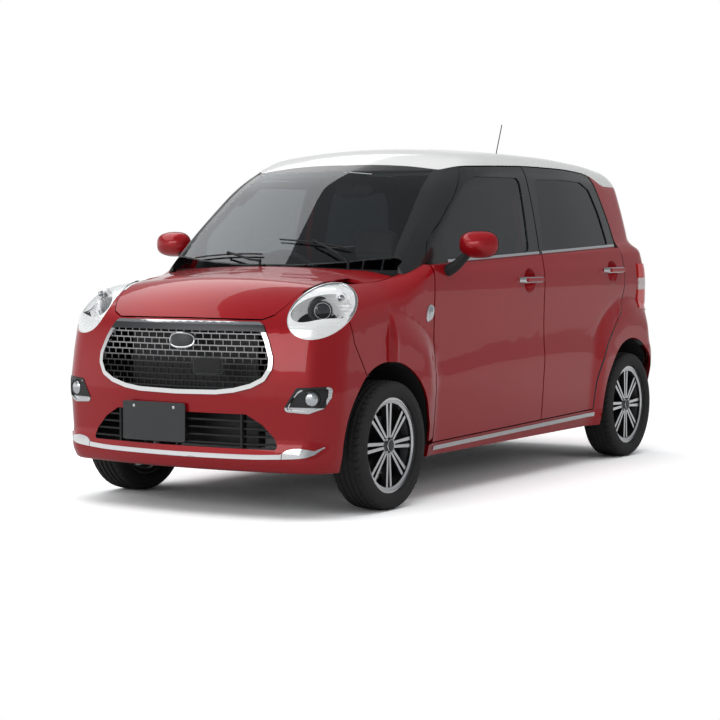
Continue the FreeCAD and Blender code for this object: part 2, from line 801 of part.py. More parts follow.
# Tail lamps in the rear corners
tail_lamp_shares = ((0.352, 0.500), (0.352, 0.615), (0.375, 0.640), (0.490, 0.640), (0.500, 0.610),
                    (0.500, 0.505), (0.480, 0.480), (0.375, 0.480))
tail_lamp_corner = 26.0
tail_lamp_depth = 60.0
tail_lamp_front = 1440.0
lamp_wire = rounded("front", front_points(tail_lamp_shares), tail_lamp_corner)
quarter = quarter.cut(prism(lamp_wire, tail_lamp_front, length))
tail_lamp_sweep = (150.0, 1150.0, 108.0, 150.0)
tail_lamp_over = 60.0
corner_rays = corner_ray(*tail_lamp_sweep, bumper_top_rear, belt_height + tail_lamp_over)
tail_lamp = slab(walls, trim_height, -tail_lamp_depth, corner_rays, 24, 24)
tail_lamp = tail_lamp.common(prism(grow(lamp_wire, -seat_gap), tail_lamp_front + seat_gap, length))
keep("quarter_left", quarter)
keep("tail_lamp_left", tail_lamp)

# Rear bumper, from wheel arch to wheel arch
bumper_sweep = (0.0, 1150.0, 112.0, 248.0)
bumper_drop = 6.0
bumper_rays = corner_ray(*bumper_sweep, sill_bottom - bumper_drop, bumper_top_rear - seat_gap)
rear_bumper = slab(walls, 0.0, -bumper_thickness, bumper_rays, 60, 22)
rear_bumper = rear_bumper.cut(prism(rear_arch, -width, width))
keep("rear_bumper", rear_bumper)

# Headlamps: tilted ovals on the front corners, with a domed lens
lamp_aim_angle = 31.9
lamp_centre = V(590.0, -1471.0, 855.0)
lamp_long = 158.0
lamp_short = 104.0
lamp_tilt = 27.0
lamp_dome = 12.0
lens_thickness = 5.0
lamp_body_depth = 95.0
lamp_reach = 260.0
aim = V(math.sin(math.radians(lamp_aim_angle)), -math.cos(math.radians(lamp_aim_angle)), 0)
across = V(-aim.y, aim.x, 0)
upward = V(0, 0, 1)
lamp_axis = across * math.cos(math.radians(lamp_tilt)) + upward * math.sin(math.radians(lamp_tilt))
lamp_other = upward * math.cos(math.radians(lamp_tilt)) - across * math.sin(math.radians(lamp_tilt))


def lamp_prism(more, near=-1.0, far=1.0):
    """Oval prism along the lamp's aim, grown by a margin."""
    oval = Part.Ellipse(lamp_centre + lamp_axis * (lamp_long + more),
                        lamp_centre + lamp_other * (lamp_short + more), lamp_centre)
    face = Part.Face(Part.Wire([oval.toShape()]))
    face.translate(aim * lamp_reach * near)
    return face.extrude(aim * lamp_reach * (far - near))


lamp_hole = lamp_prism(seat_gap - half_gap)


def lamp_skin(x, y, z):
    """The body's skin with the lens standing proud as a dome."""
    to = V(x, y, z) - lamp_centre
    r = math.hypot(to.dot(lamp_axis) / lamp_long, to.dot(lamp_other) / lamp_short)
    return lower_body(x, y, z) - lamp_dome * max(0.0, 1 - r * r)


def lamp_ray(u, v):
    along_axis = lamp_axis * (lamp_long * 1.08 * (2 * u - 1))
    return lamp_centre - aim * lamp_reach + along_axis + lamp_other * (lamp_short * 1.08 * (2 * v - 1)), aim


lens = slab(lamp_skin, 0.0, -lens_thickness, lamp_ray, 22, 18).common(lamp_prism(-half_gap))
lamp_case = slab(lamp_skin, -lens_thickness - seat_gap, -lamp_body_depth, lamp_ray, 22, 18)
lamp_case = lamp_case.common(lamp_prism(-half_gap))
bowl_rim = 13.0
bowl_depth = 74.0
projector_radius = 34.0
projector_reach = 16.0


def lamp_bowl():
    """Oval bowl of the lamp with its projector standing in the middle."""
    a, b, c = lamp_axis * (lamp_long - bowl_rim), aim * bowl_depth, lamp_other * (lamp_short - bowl_rim)
    p = lamp_centre
    place = FreeCAD.Matrix(a.x, b.x, c.x, p.x, a.y, b.y, c.y, p.y, a.z, b.z, c.z, p.z, 0, 0, 0, 1)
    bowl = Part.makeSphere(1.0).transformGeometry(place)
    return bowl.cut(rod(p - aim * (2 * bowl_depth), p - aim * projector_reach, projector_radius))


lamp_case = lamp_case.cut(lamp_bowl())
keep("headlamp_lens_left", lens)
keep("headlamp_left", lamp_case)

# Hood
hood_side_shares = ((0.420, -0.2640), (0.4205, -0.2950), (0.412, -0.3250), (0.394, -0.3560),
                    (0.352, -0.3790), (0.336, -0.3980), (0.330, -0.4180), (0.322, -0.4400),
                    (0.309, -0.4510), (0.302, -0.4900))
hood_rear_line = -1042.0
hood_rear_bow = 150.0
hood_rear_reach = 615.0
hood_front_shares = ((0.0, 0.5130), (0.252, 0.5115), (0.285, 0.5240), (0.304, 0.5490), (0.316, 0.5800),
                     (0.330, 0.6100), (0.450, 0.6300))


def hood_outline(gap):
    rear = [(hood_rear_reach * k / 6, hood_rear_line + hood_rear_bow * (k / 6) ** 2 + gap) for k in range(7)]
    side = [(width * a + gap, length * b) for a, b in hood_side_shares]
    half = rear + side[1:] + [(0.0, side[-1][1])]
    return polygon(mirrored_outline("top", half))


def nose_outline(gap, top):
    """Region of the front view below the hood's front edge, or above it up to a height."""
    half = [(width * a, height * b + gap) for a, b in hood_front_shares]
    return polygon(mirrored_outline("front", half + [(half[-1][0], top), (0.0, top)]))


hood_sweep = (-1150.0, 640.0, 12.0, 118.0)
hood_rays = pitch_ray(*hood_sweep, -width * 0.435, width * 0.435)
hood = slab(lower_body, 0.0, -hood_thickness, hood_rays, 40, 36)
hood = hood.common(prism(hood_outline(-half_gap), 0.0, height))
hood = hood.cut([prism(nose_outline(half_gap, 0.0), -length, front_axle), lamp_prism(half_gap),
                 mirrored(lamp_prism(half_gap))])
keep("hood", hood)
screen_trim = 24.0
windscreen = windscreen.cut(prism(hood_outline(screen_trim), 0.0, 2 * height))
keep("windscreen", windscreen)

# Front fenders
bumper_seam_shares = ((-0.52, 0.100), (-0.380, 0.100), (-0.3860, 0.360), (-0.3985, 0.400), (-0.4150, 0.450),
                      (-0.4230, 0.500), (-0.4230, 0.700), (-0.52, 0.700))
fender_shares = ((-0.460, 0.156), (-0.460, 0.640), (-0.300, 0.660), (-0.265, 0.680))


def fender_region():
    edge = door_front_cut - half_door_gap
    top = [(edge, belt(edge)), (edge, sill(edge) + seat_gap)]
    return polygon([place("side", *p) for p in side_points(fender_shares) + top])


fender = slab(lower_body, 0.0, -fender_thickness, fender_rays, 40, 46)
bumper_seam = polygon([place("side", *p) for p in side_points(bumper_seam_shares)])
fender = fender.common(prism(fender_region(), 0.0, width))
fender = fender.cut([prism(front_arch, 0.0, width), prism(grow(bumper_seam, half_gap), 0.0, width),
                     prism(hood_outline(half_gap), 0.0, 2 * height), lamp_hole,
                     box(0.0, width * hood_side_shares[0][0] + half_gap, hood_rear_line + 2 * overrun, 0.0, 0.0, 2 * height)])
keep("front_fender_left", fender)

# Front bumper with the openings for the grille, the lower intake and the fog lamps
grille_shares = ((-0.251, 0.5070), (0.251, 0.5070), (0.264, 0.4980), (0.288, 0.4594), (0.307, 0.4156),
                 (0.307, 0.3875), (0.2875, 0.3563), (0.248, 0.3375), (0.193, 0.3245), (0.1356, 0.3180),
                 (0.0, 0.3156), (-0.1356, 0.3180), (-0.193, 0.3245), (-0.248, 0.3375), (-0.2875, 0.3563),
                 (-0.307, 0.3875), (-0.307, 0.4156), (-0.288, 0.4594), (-0.264, 0.4980))
grille_corner = 34.0
grille_bar = 40.0
grille_rim = 19.0
intake_shares = ((-0.228, 0.2690), (0.228, 0.2690), (0.277, 0.2440), (0.316, 0.2080), (0.328, 0.1800),
                 (-0.328, 0.1800), (-0.316, 0.2080), (-0.277, 0.2440))
intake_corner = 14.0
fog_shares = ((0.338, 0.2790), (0.380, 0.3410), (0.468, 0.3450), (0.466, 0.3160), (0.452, 0.2890),
              (0.415, 0.2750))
fog_corner = 16.0
nose_front = -1760.0
nose_back = -1380.0
grille_wire = rounded("front", front_points(grille_shares), grille_corner)
intake_wire = rounded("front", front_points(intake_shares), intake_corner)
fog_wire = rounded("front", front_points(fog_shares), fog_corner)
nose_sweep = (0.0, -1150.0, -79.0, 79.0)
nose_drop = 4.0
nose_high = 950.0
nose_rays = corner_ray(*nose_sweep, sill_bottom - nose_drop, nose_high)
front_bumper = slab(lower_body, 0.0, -bumper_thickness, nose_rays, 76, 40)
bumper_keep = prism(grow(bumper_seam, -half_gap), -half_width, half_width)
front_bumper = front_bumper.common(bumper_keep)
fog_hole = prism(fog_wire, nose_front, nose_back)
front_bumper = front_bumper.cut([prism(front_arch, -width, width), prism(nose_outline(-half_gap, 2 * height), nose_front, front_axle),
                                 prism(grille_wire, nose_front, nose_back), prism(intake_wire, nose_front, nose_back),
                                 fog_hole, mirrored(fog_hole), lamp_hole, mirrored(lamp_hole)])
keep("front_bumper", front_bumper)


# Grille surround, mesh and lower intake
surround_proud = 7.0
surround_depth = 16.0
rim_wire = rounded("front", front_points(grille_shares), grille_corner)
inner_grille = grow(rim_wire, -grille_rim)
inner_box = box(-half_width, half_width, nose_front, nose_back, 0.0, height * grille_shares[0][1] - grille_bar)
grille_sweep = (0.0, -1150.0, -46.0, 46.0)
grille_rays = corner_ray(*grille_sweep, height * 0.300, height * 0.525)
surround = slab(lower_body, surround_proud, -surround_depth, grille_rays, 34, 16)
surround = surround.common(prism(grow(rim_wire, -seat_gap), nose_front, nose_back))
opening = prism(inner_grille, nose_front, nose_back).common(inner_box)
surround = surround.cut(opening)
keep("grille_surround", surround)

mesh_rows = 10
mesh_rail = 5.0
mesh_depth = 9.0
mesh_set_back = 7.0
mesh_columns = 22
tie_width = 3.5
tie_depth = 5.0
bow_radius = nose_bow_reach ** 2 / (2 * nose_bow_share * length)


def bowed_rail(z, thick, back, depth, reach):
    """Level rail that follows the nose's bow at a height."""
    front = nose(0.0, z) + back
    centre = V(0, front + bow_radius, z)
    ring_face = Part.Face(Part.Wire([Part.Circle(centre, V(0, 0, 1), bow_radius).toShape()]))
    hole_face = Part.Face(Part.Wire([Part.Circle(centre, V(0, 0, 1), bow_radius - depth).toShape()]))
    tube = ring_face.cut(hole_face).extrude(V(0, 0, thick))
    return tube.common(box(-reach, reach, nose_front, nose_back, z - thick, z + 2 * thick))


mesh_low = height * 0.3156 + grille_rim
mesh_high = height * grille_shares[0][1] - grille_bar
mesh_pitch = (mesh_high - mesh_low) / mesh_rows
mesh_reach = width * 0.307
rails = [bowed_rail(mesh_low + mesh_pitch * (k + 0.5) - mesh_rail / 2, mesh_rail, mesh_set_back, mesh_depth,
                    mesh_reach) for k in range(mesh_rows)]
column_pitch = 2 * mesh_reach / mesh_columns
ties = []
for row in range(-1, mesh_rows):
    low = mesh_low + mesh_pitch * (row + 0.5)
    for k in range(mesh_columns):
        x = -mesh_reach + column_pitch * (k + 0.5 + 0.5 * (row % 2))
        if abs(x) > mesh_reach:
            continue
        y = nose(x, low + mesh_pitch / 2) + mesh_set_back + (mesh_depth - tie_depth) / 2
        ties.append(box(x - tie_width / 2, x + tie_width / 2, y, y + tie_depth, low, low + mesh_pitch))
shroud_depth = 26.0
shroud = slab(lower_body, -surround_depth - seat_gap, -surround_depth - shroud_depth, grille_rays, 34, 16)
shroud = shroud.common(prism(grow(rim_wire, -grille_rim / 2), nose_front, nose_back)).cut(opening)
mesh = rails[0].fuse(rails[1:] + ties)
mesh = mesh.common(opening)
keep("grille", mesh)
keep("grille_shroud", shroud)


# Slats across the lower intake
intake_slats = 4
slat_height = 7.0
slat_depth = 22.0
intake_back = 3.0
intake_low = height * 0.1800
intake_z_shares = (0.1800, 0.2690)
intake_pitch = height * (intake_z_shares[1] - intake_z_shares[0]) / (intake_slats + 0.5)
slats = [bowed_rail(intake_low + intake_pitch * (k + 0.5), slat_height, intake_back, slat_depth, width * 0.34)
         for k in range(intake_slats)]
post_width = 10.0
posts = [box(x - post_width / 2, x + post_width / 2, nose(x, intake_low) + intake_back,
             nose(x, intake_low) + intake_back + slat_depth + post_width, intake_low, height * 0.2690)
         for x in (-width * 0.215, 0.0, width * 0.215)]
intake_prism = prism(grow(intake_wire, -seat_gap), nose_front, nose_back)
lower_grille = slats[0].fuse(slats[1:] + posts).common(intake_prism)
keep("lower_grille", lower_grille)

# Fog lamps in their bezels
fog_depth = 48.0
fog_recess = 8.0
fog_ring = 9.0
fog_sweep = (0.0, -1150.0, 38.0, 66.0)
fog_rays = corner_ray(*fog_sweep, height * 0.262, height * 0.355)
fog = slab(walls, trim_height / 2, -fog_depth, fog_rays, 16, 12)
fog = fog.common(prism(grow(fog_wire, -seat_gap), nose_front, nose_back))
fog_bowl = prism(grow(fog_wire, -fog_ring), nose_front, nose_back)
fog_face = slab(walls, fog_depth, -fog_recess, fog_rays, 16, 12)
fog = fog.cut(fog_face.common(fog_bowl))
keep("fog_lamp_left", fog)

# Bright mouldings on the front bumper and the sills
strip_height = 19.0
strip_shares = ((0.0, 0.1590), (0.246, 0.1605), (0.342, 0.1640), (0.390, 0.1670), (0.423, 0.1720),
                (0.441, 0.1800), (0.450, 0.1890))
strip_joint = width * 0.342
strip_gap = 3.0
strip_flare = 22.0


strip_flare_shares = (0.335, 0.03)
strip_end_shares = (0.385, 0.065)
strip_slim_shares = (0.41, 0.04)


def strip_region():
    low, high = [], []
    for k in range(25):
        share = strip_shares[-1][0] * k / 24
        z = height * curve(strip_shares, share)
        spread = (strip_flare * ease((share - strip_flare_shares[0]) / strip_flare_shares[1])
                  * (1 - ease((share - strip_end_shares[0]) / strip_end_shares[1])))
        slim = 1 - 0.7 * ease((share - strip_slim_shares[0]) / strip_slim_shares[1])
        low.append((width * share, z - strip_height / 2 * slim))
        high.append((width * share, z + (strip_height / 2) * slim + spread))
    return polygon(mirrored_outline("front", low + high[::-1]))


strip_sweep = (0.0, -1150.0, -72.0, 72.0)
strip_rays = corner_ray(*strip_sweep, height * 0.145, height * 0.205)
strip = slab(walls, trim_height, seat_gap, strip_rays, 60, 8)
strip = strip.common(prism(strip_region(), nose_front, nose_back))
joints = [box(s * strip_joint - strip_gap / 2, s * strip_joint + strip_gap / 2, nose_front, nose_back, 0.0, height)
          for s in (-1, 1)]
keep("bumper_strip", strip.cut(joints))
sill_strip_front = length * -0.2190
sill_strip_rear = length * 0.2680
sill_strip_height = 20.0


def sill_strip(front, rear):
    ray = side_ray(flat(front), flat(rear), lambda y: sill(y) - sill_strip_height - panel_gap * 2,
                   lambda y: sill(y) - panel_gap * 2)
    return slab(walls, trim_height, 2 * seat_gap, ray, 24, 4)


keep("sill_strip_left", sill_strip(sill_strip_front, sill_strip_rear))

# Cowl and wipers
cowl_sweep = (-1150.0, 640.0, 98.0, 128.0)
cowl_rays = pitch_ray(*cowl_sweep, -width * 0.41, width * 0.41)
cowl_depth = 16.0
cowl_drop = 7.0
cowl_reach = 46.0
cowl = slab(lower_body, -cowl_drop, -cowl_drop - cowl_depth, cowl_rays, 26, 12)


def cowl_outline():
    front = [(hood_rear_reach * k / 6, hood_rear_line + hood_rear_bow * (k / 6) ** 2 + half_gap) for k in range(7)]
    rear = [(x, y + cowl_reach) for x, y in front]
    return polygon(mirrored_outline("top", front + rear[::-1]))


cowl = cowl.common(prism(cowl_outline(), 0.0, height))
keep("cowl", cowl)

# Running gear: wheel, tyre, hub and brake, as a wheel on the car's left
rim_shares = ((-0.500, 1.000), (-0.470, 1.000), (-0.430, 0.930), (-0.30, 0.920), (-0.12, 0.860), (0.10, 0.860),
              (0.33, 0.925), (0.440, 0.930), (0.475, 1.000), (0.500, 1.000))


def revolved(points, start=0.0):
    """Solid of revolution about the X axis from (x, radius) points."""
    wire = Part.makePolygon([V(x, 0, r) for x, r in points + points[:1]])
    return Part.Face(wire).revolve(V(start, 0, 0), V(1, 0, 0), 360)


def barrel():
    outer = [(rim_width * a, (rim_radius + rim_flange) * b) for a, b in rim_shares]
    inner = [(x, r - rim_wall) for x, r in outer]
    return revolved(outer + inner[::-1])


bead_shares = ((0.423, 0.930), (0.460, 1.0))
spoke_plane = rim_width * 0.41
spoke_root = hub_radius * 0.9
hub_depth = 70.0
hub_step = 10.0
spoke_end = (rim_radius + rim_flange) * 0.93 - rim_wall / 2


def spoke_pair(angle):
    """Two spokes that spread a little towards the rim, turned about the axle."""
    made = []
    for side in (-1, 1):
        root, tip = side * spoke_spread * 0.62, side * spoke_spread * 1.25
        w = spoke_width / 2
        points = [V(0, root - w * 0.8, spoke_root), V(0, root + w * 0.8, spoke_root),
                  V(0, tip + w, spoke_end), V(0, tip - w, spoke_end)]
        bar = Part.Face(polygon(points)).extrude(V(spoke_depth, 0, 0))
        bar.translate(V(spoke_plane - spoke_depth, 0, 0))
        made.append(bar)
    for bar in made:
        bar.rotate(V(0, 0, 0), V(1, 0, 0), angle)
    return made


def wheel():
    hub = revolved([(spoke_plane - hub_depth, 0.0), (spoke_plane - hub_depth, hub_radius * 1.3),
                    (spoke_plane - spoke_depth, hub_radius * 1.3), (spoke_plane, hub_radius),
                    (spoke_plane + hub_step, hub_cap_radius), (spoke_plane + hub_step, 0.0)])
    disc = revolved([(spoke_plane - hub_depth, 0.0), (spoke_plane - hub_depth, disc_radius),
                     (spoke_plane - hub_depth + disc_thickness, disc_radius),
                     (spoke_plane - hub_depth + disc_thickness, 0.0)])
    bars = []
    for k in range(spoke_pairs):
        bars += spoke_pair(360 / spoke_pairs * k)
    return barrel().fuse([hub, disc] + bars)


def tyre():
    rim = rim_radius + rim_flange
    w = tyre_width / 2
    foot = rim * bead_shares[0][1] + 2 * seat_gap
    lift = rim + 2 * seat_gap
    s = tyre_shoulder
    rise = tyre_radius - lift
    side = [(rim_width * bead_shares[0][0], foot), (rim_width * bead_shares[1][0], lift), (w * 0.90, lift),
            (w, lift + rise * 0.42), (w * 0.985, tyre_radius - s), (w - s * 0.62, tyre_radius - s * 0.2),
            (w - s * 1.3, tyre_radius)]
    return revolved([(-x, r) for x, r in side] + side[::-1])


wheel_left = wheel()
tyre_left = tyre()
wheel_spots = {"front_left": (track_front / 2, front_axle), "front_right": (-track_front / 2, front_axle),
               "rear_left": (track_rear / 2, rear_axle), "rear_right": (-track_rear / 2, rear_axle)}
for spot, (x, y) in wheel_spots.items():
    for kind, shape in (("wheel_", wheel_left), ("tyre_", tyre_left)):
        made = shape.copy() if x > 0 else mirrored(shape)
        made.translate(V(x, y, tyre_radius))
        keep(kind + spot, made)

# Front knuckles with their struts, which steer together about the strut's axis
strut_top = V(545.0, front_axle, 790.0)
ball_joint = V(607.0, front_axle, 196.0)
strut_axis = strut_top - ball_joint
strut_length = strut_axis.Length
strut_dir = strut_axis * (1 / strut_length)
strut_tube = 19.0
strut_low = 430.0
spring_radius = 48.0
spring_low = 572.0
spring_high = 742.0
spring_seat = 8.0
knuckle_thickness = 30.0
knuckle_radius = 44.0


def at_strut(share):
    return ball_joint + strut_axis * share


def knuckle():
    hub_face = track_front / 2 + spoke_plane - hub_depth - seat_gap
    body = rod(V(hub_face - knuckle_thickness, front_axle, tyre_radius), V(hub_face, front_axle, tyre_radius),
               knuckle_radius)
    middle = V(hub_face - knuckle_thickness * 0.62, front_axle, tyre_radius)
    x = strut_top.x
    foot = V(x, front_axle, strut_low)
    ball = rod(ball_joint, at_strut(0.10), strut_tube * 0.9)
    arm = rod(at_strut(0.05), middle, strut_tube * 0.9)
    link = rod(middle, foot, strut_tube)
    knee = Part.makeSphere(strut_tube, foot)
    tube = rod(foot, V(x, front_axle, spring_high), strut_tube)
    cup = rod(V(x, front_axle, spring_low - spring_seat), V(x, front_axle, spring_low), spring_radius * 1.08)
    coil = rod(V(x, front_axle, spring_low), V(x, front_axle, spring_high), spring_radius)
    cap = rod(at_strut(0.90), at_strut(1.0), strut_tube * 1.3)
    return merge([body, ball, arm, link, knee, tube, cup, coil, cap])


keep("knuckle_left", knuckle())

# Wheelhouses
front_inner_wall = 412.0
rear_inner_wall = 530.0
tower_radius = 82.0
tower_wall = 6.0
tower_foot = 0.70
tower_open = 0.20
wheelhouse_low = 240.0
inner_wall_low = 420.0


liner_sweep = (330.0, 640.0, 22.0, 146.0, -1500.0, -752.0)
liner_rays = roll_ray(*liner_sweep)
rear_corner_sweep = (0.0, 1150.0, 100.0, 178.0)


def wheelhouse(axle, shift, inner_wall, front):
    outer = prism(arch(axle, shift, -liner_lap - liner_wall), inner_wall - liner_wall, half_width)
    hollow = prism(arch(axle, shift, -liner_lap), inner_wall, width)
    made = outer.cut([hollow, box(0.0, width, axle - length / 2, axle + length / 2, -overrun, wheelhouse_low),
                      box(0.0, inner_wall, axle - length / 2, axle + length / 2, -overrun, inner_wall_low)])
    if not front:
        corner = corner_ray(*rear_corner_sweep, sill_bottom - overrun, belt_height)
        made = made.cut(slab(walls, 2 * overrun, -bumper_thickness - 2 * seat_gap, corner, 40, 20))
        return made.cut(slab(whole_side, overrun, -quarter_thickness - 2 * seat_gap, quarter_rays, 40, 44))
    tower = rod(at_strut(tower_foot), at_strut(1.0) + strut_dir * (seat_gap + tower_wall), tower_radius)
    core = rod(at_strut(tower_foot - tower_open), at_strut(1.0) + strut_dir * seat_gap, tower_radius - tower_wall)
    made = made.cut(core).fuse(tower.cut([core, hollow]))
    return made.cut(slab(lower_body, 2 * overrun, -bumper_thickness - panel_gap, liner_rays, 40, 46))


keep("wheelhouse_front_left", wheelhouse(front_axle, front_arch_shift, front_inner_wall, True))
keep("wheelhouse_rear_left", wheelhouse(rear_axle, rear_arch_shift, rear_inner_wall, False))

# Floor, bulkhead and scuttle
floor_wall = 20.0
floor_height = 200.0
bulkhead = -712.0
bulkhead_top = 985.0
scuttle_front = -965.0
toe_shares = ((-0.2097, 0.190), (-0.1900, 0.1375))
seat_kick = 640.0
seat_step = 372.0
load_kick = 930.0
load_floor = 470.0
rear_wall = 1626.0
floor_half = cabin_half_width
load_half = rear_inner_wall - liner_wall - seat_gap


def floor_profile(points, wall):
    """Thin bent sheet along a run of points in the side view."""
    top = [V(0, y, z) for y, z in points]
    upper = Part.Wire(Part.makePolygon(top).Edges)
    lower = upper.makeOffset2D(wall, openResult=True, join=2, fill=True)
    return lower


def bent_sheet(points, wall, half):
    """Sheet of even thickness along a bent line in the side view, spread over the width."""
    face = Part.Face(floor_profile(points, wall))
    face.translate(V(-half, 0, 0))
    return face.extrude(V(2 * half, 0, 0))


front_floor = bent_sheet([(scuttle_front, bulkhead_top), (bulkhead, bulkhead_top),
                          (length * toe_shares[0][0], height * toe_shares[0][1]),
                          (length * toe_shares[1][0], floor_height), (seat_kick, floor_height),
                          (seat_kick + floor_wall, seat_step), (load_kick, seat_step)], floor_wall, floor_half)
rear_floor = bent_sheet([(load_kick - floor_wall, seat_step), (load_kick + floor_wall, seat_step),
                         (load_kick + 2 * floor_wall, load_floor), (rear_wall, load_floor),
                         (rear_wall, bumper_top_rear)], floor_wall, load_half)
scuttle = box(-floor_half * 0.9, floor_half * 0.9, scuttle_front, scuttle_front + floor_wall, bulkhead_top - floor_wall,
              bulkhead_top + 2 * overrun)
scuttle = scuttle.cut(slab(lower_body, 2 * overrun, -cowl_drop - cowl_depth - 2 * seat_gap, cowl_rays, 20, 10))
keep("floor_pan", front_floor.fuse([rear_floor, scuttle]))

# Dashboard, steering wheel and column
dash_half = 562.0
dash_shares = ((-0.2030, 0.400), (-0.2030, 0.600), (-0.1780, 0.612), (-0.1350, 0.605), (-0.1150, 0.585),
               (-0.1090, 0.545), (-0.1160, 0.480), (-0.1300, 0.400), (-0.1650, 0.380))
dash_round = 24.0
dashboard = prism(rounded("side", side_points(dash_shares), dash_round), -dash_half, dash_half)
wheel_place = V(-330.0, -322.0, 925.0)
steer_spoke = 0.12
wheel_rake = 26.0
steer_radius = 182.0
steer_grip = 14.0
steer_hub = 58.0
steer_hub_depth = 40.0
column_radius = 32.0
column_length = 210.0
lean = math.radians(wheel_rake)
steer_dir = V(0, math.cos(lean), math.sin(lean))


def steering_wheel():
    rim = Part.makeTorus(steer_radius, steer_grip, wheel_place, steer_dir)
    hub = rod(wheel_place - steer_dir * steer_hub_depth, wheel_place + steer_dir * (steer_hub_depth * 0.2), steer_hub)
    spokes = [rod(wheel_place, wheel_place + V(math.cos(a), -math.sin(a) * steer_dir.z, math.sin(a) * steer_dir.y)
                  * steer_radius, steer_grip * 0.85) for a in (steer_spoke, math.pi - steer_spoke, -math.pi / 2)]
    column = rod(wheel_place - steer_dir * column_length, wheel_place - steer_dir * steer_hub_depth * 0.5,
                 column_radius)
    return rim.fuse([hub, column] + spokes)


steering = steering_wheel()
dashboard = dashboard.cut(rod(wheel_place - steer_dir * (column_length + seat_gap), wheel_place,
                              column_radius + seat_gap))
keep("dashboard", dashboard)
keep("steering_wheel", steering)

# Seats
seat_half = 232.0
seat_place = 325.0
seat_shares = ((-0.400, 0.235), (0.160, 0.235), (0.400, 0.760), (0.330, 0.800), (0.275, 0.760), (0.080, 0.345),
               (-0.380, 0.365), (-0.430, 0.300))
seat_scale = 1000.0
seat_round = 38.0
seat_front_y = 60.0
rest_half = 125.0
rest_shares = ((0.345, 0.835), (0.355, 1.000), (0.420, 1.010), (0.440, 0.840))
rest_post = 7.0
post_spread = 60.0
cushion_edge = 26.0


def seat(y, half, x_list, rest_x):
    """Cushion, back and headrests in one, on rails down to the floor."""
    outline = [(y + seat_scale * a, floor_height + seat_scale * b) for a, b in seat_shares]
    made = prism(rounded("side", outline, seat_round), -half, half)
    rest_outline = [(y + seat_scale * a, floor_height + seat_scale * b) for a, b in rest_shares]
    pieces = []
    for x in rest_x:
        pad = prism(rounded("side", rest_outline, seat_round / 2), x - rest_half, x + rest_half)
        pieces.append(pad)
        for post in (-post_spread, post_spread):
            top = V(x + post, y + seat_scale * 0.385, floor_height + seat_scale * 0.870)
            low = V(x + post, y + seat_scale * 0.340, floor_height + seat_scale * 0.720)
            pieces.append(rod(low, top, rest_post))
    rails = [box(x - cushion_edge, x + cushion_edge, y + seat_scale * -0.36, y + seat_scale * 0.14,
                 floor_height + seat_gap, floor_height + seat_scale * 0.25) for x in x_list]
    return made.fuse(pieces + rails)


front_seat = seat(seat_front_y, seat_half, (-seat_half * 0.72, seat_half * 0.72), (0.0,))
for side, x in (("left", seat_place), ("right", -seat_place)):
    made = front_seat.copy()
    made.translate(V(x, 0, 0))
    keep("seat_front_" + side, made)
bench_half = 510.0
bench_y = 860.0
bench_shares = ((-0.230, 0.180), (0.070, 0.290), (0.150, 0.290), (0.330, 0.800), (0.265, 0.830), (0.210, 0.800),
                (0.060, 0.350), (-0.360, 0.370), (-0.400, 0.300), (-0.380, 0.180))


rest_lift_share = 0.02


def bench():
    outline = [(bench_y + seat_scale * a, floor_height + seat_scale * b) for a, b in bench_shares]
    made = prism(rounded("side", outline, seat_round * 0.8), -bench_half, bench_half)
    pads = []
    for x in (-bench_half * 0.5, bench_half * 0.5):
        rest = [(bench_y - seat_scale * 0.085 + seat_scale * a, floor_height + seat_scale * (b + rest_lift_share))
                for a, b in rest_shares]
        pads.append(prism(rounded("side", rest, seat_round / 2), x - rest_half, x + rest_half))
        for post in (-post_spread, post_spread):
            top = V(x + post, bench_y + seat_scale * 0.300, floor_height + seat_scale * 0.890)
            low = V(x + post, bench_y + seat_scale * 0.265, floor_height + seat_scale * 0.760)
            pads.append(rod(low, top, rest_post))
    return made.fuse(pads)


keep("seat_rear", bench())

# Engine, radiator and the front crossmember
radiator_half = 330.0
radiator_y = (-1560.0, -1510.0)
radiator_z = (282.0, 760.0)
rail_x = 372.0
rail_size = 28.0
rail_z = 380.0
radiator = box(-radiator_half, radiator_half, *radiator_y, *radiator_z)
beam = box(-rail_x - rail_size, rail_x + rail_size, radiator_y[0], radiator_y[1], rail_z - rail_size, rail_z + rail_size)
side_rails = [box(x - rail_size, x + rail_size, radiator_y[0], bulkhead - floor_wall - seat_gap, rail_z - rail_size,
                  rail_z + rail_size) for x in (-rail_x, rail_x)]
buffer_radius = 14.0
buffer_x = 240.0
buffer_y = -1535.0
buffer_top = meet(lower_body, -hood_thickness - seat_gap, V(buffer_x + buffer_radius, buffer_y - buffer_radius, radiator_z[1]), V(0, 0, 1))
buffers = [rod(V(s * buffer_x, buffer_y, radiator_z[1] - overrun), V(s * buffer_x, buffer_y, buffer_top.z),
               buffer_radius) for s in (-1, 1)]
keep("front_rails", radiator.fuse([beam] + side_rails + buffers))
engine_x = (-250.0, 300.0)
engine_y = (-1400.0, -1025.0)
engine_z = (225.0, 800.0)
engine_edge = 40.0
mount_y = -1210.0
mount_half = 32.0
shaft_radius = 13.0
shaft_end = 578.0
boot_radius = 30.0
boot_length = 62.0
rail_inner = rail_x - rail_size - seat_gap
engine = box(*engine_x, *engine_y, *engine_z)
engine = engine.makeChamfer(engine_edge, engine.Edges)
mounts = [box(-rail_inner, engine_x[0] + overrun, mount_y - mount_half, mount_y + mount_half, rail_z - rail_size,
              rail_z + rail_size),
          box(engine_x[1] - overrun, rail_inner, mount_y - mount_half, mount_y + mount_half, rail_z - rail_size,
              rail_z + rail_size)]
shafts = []
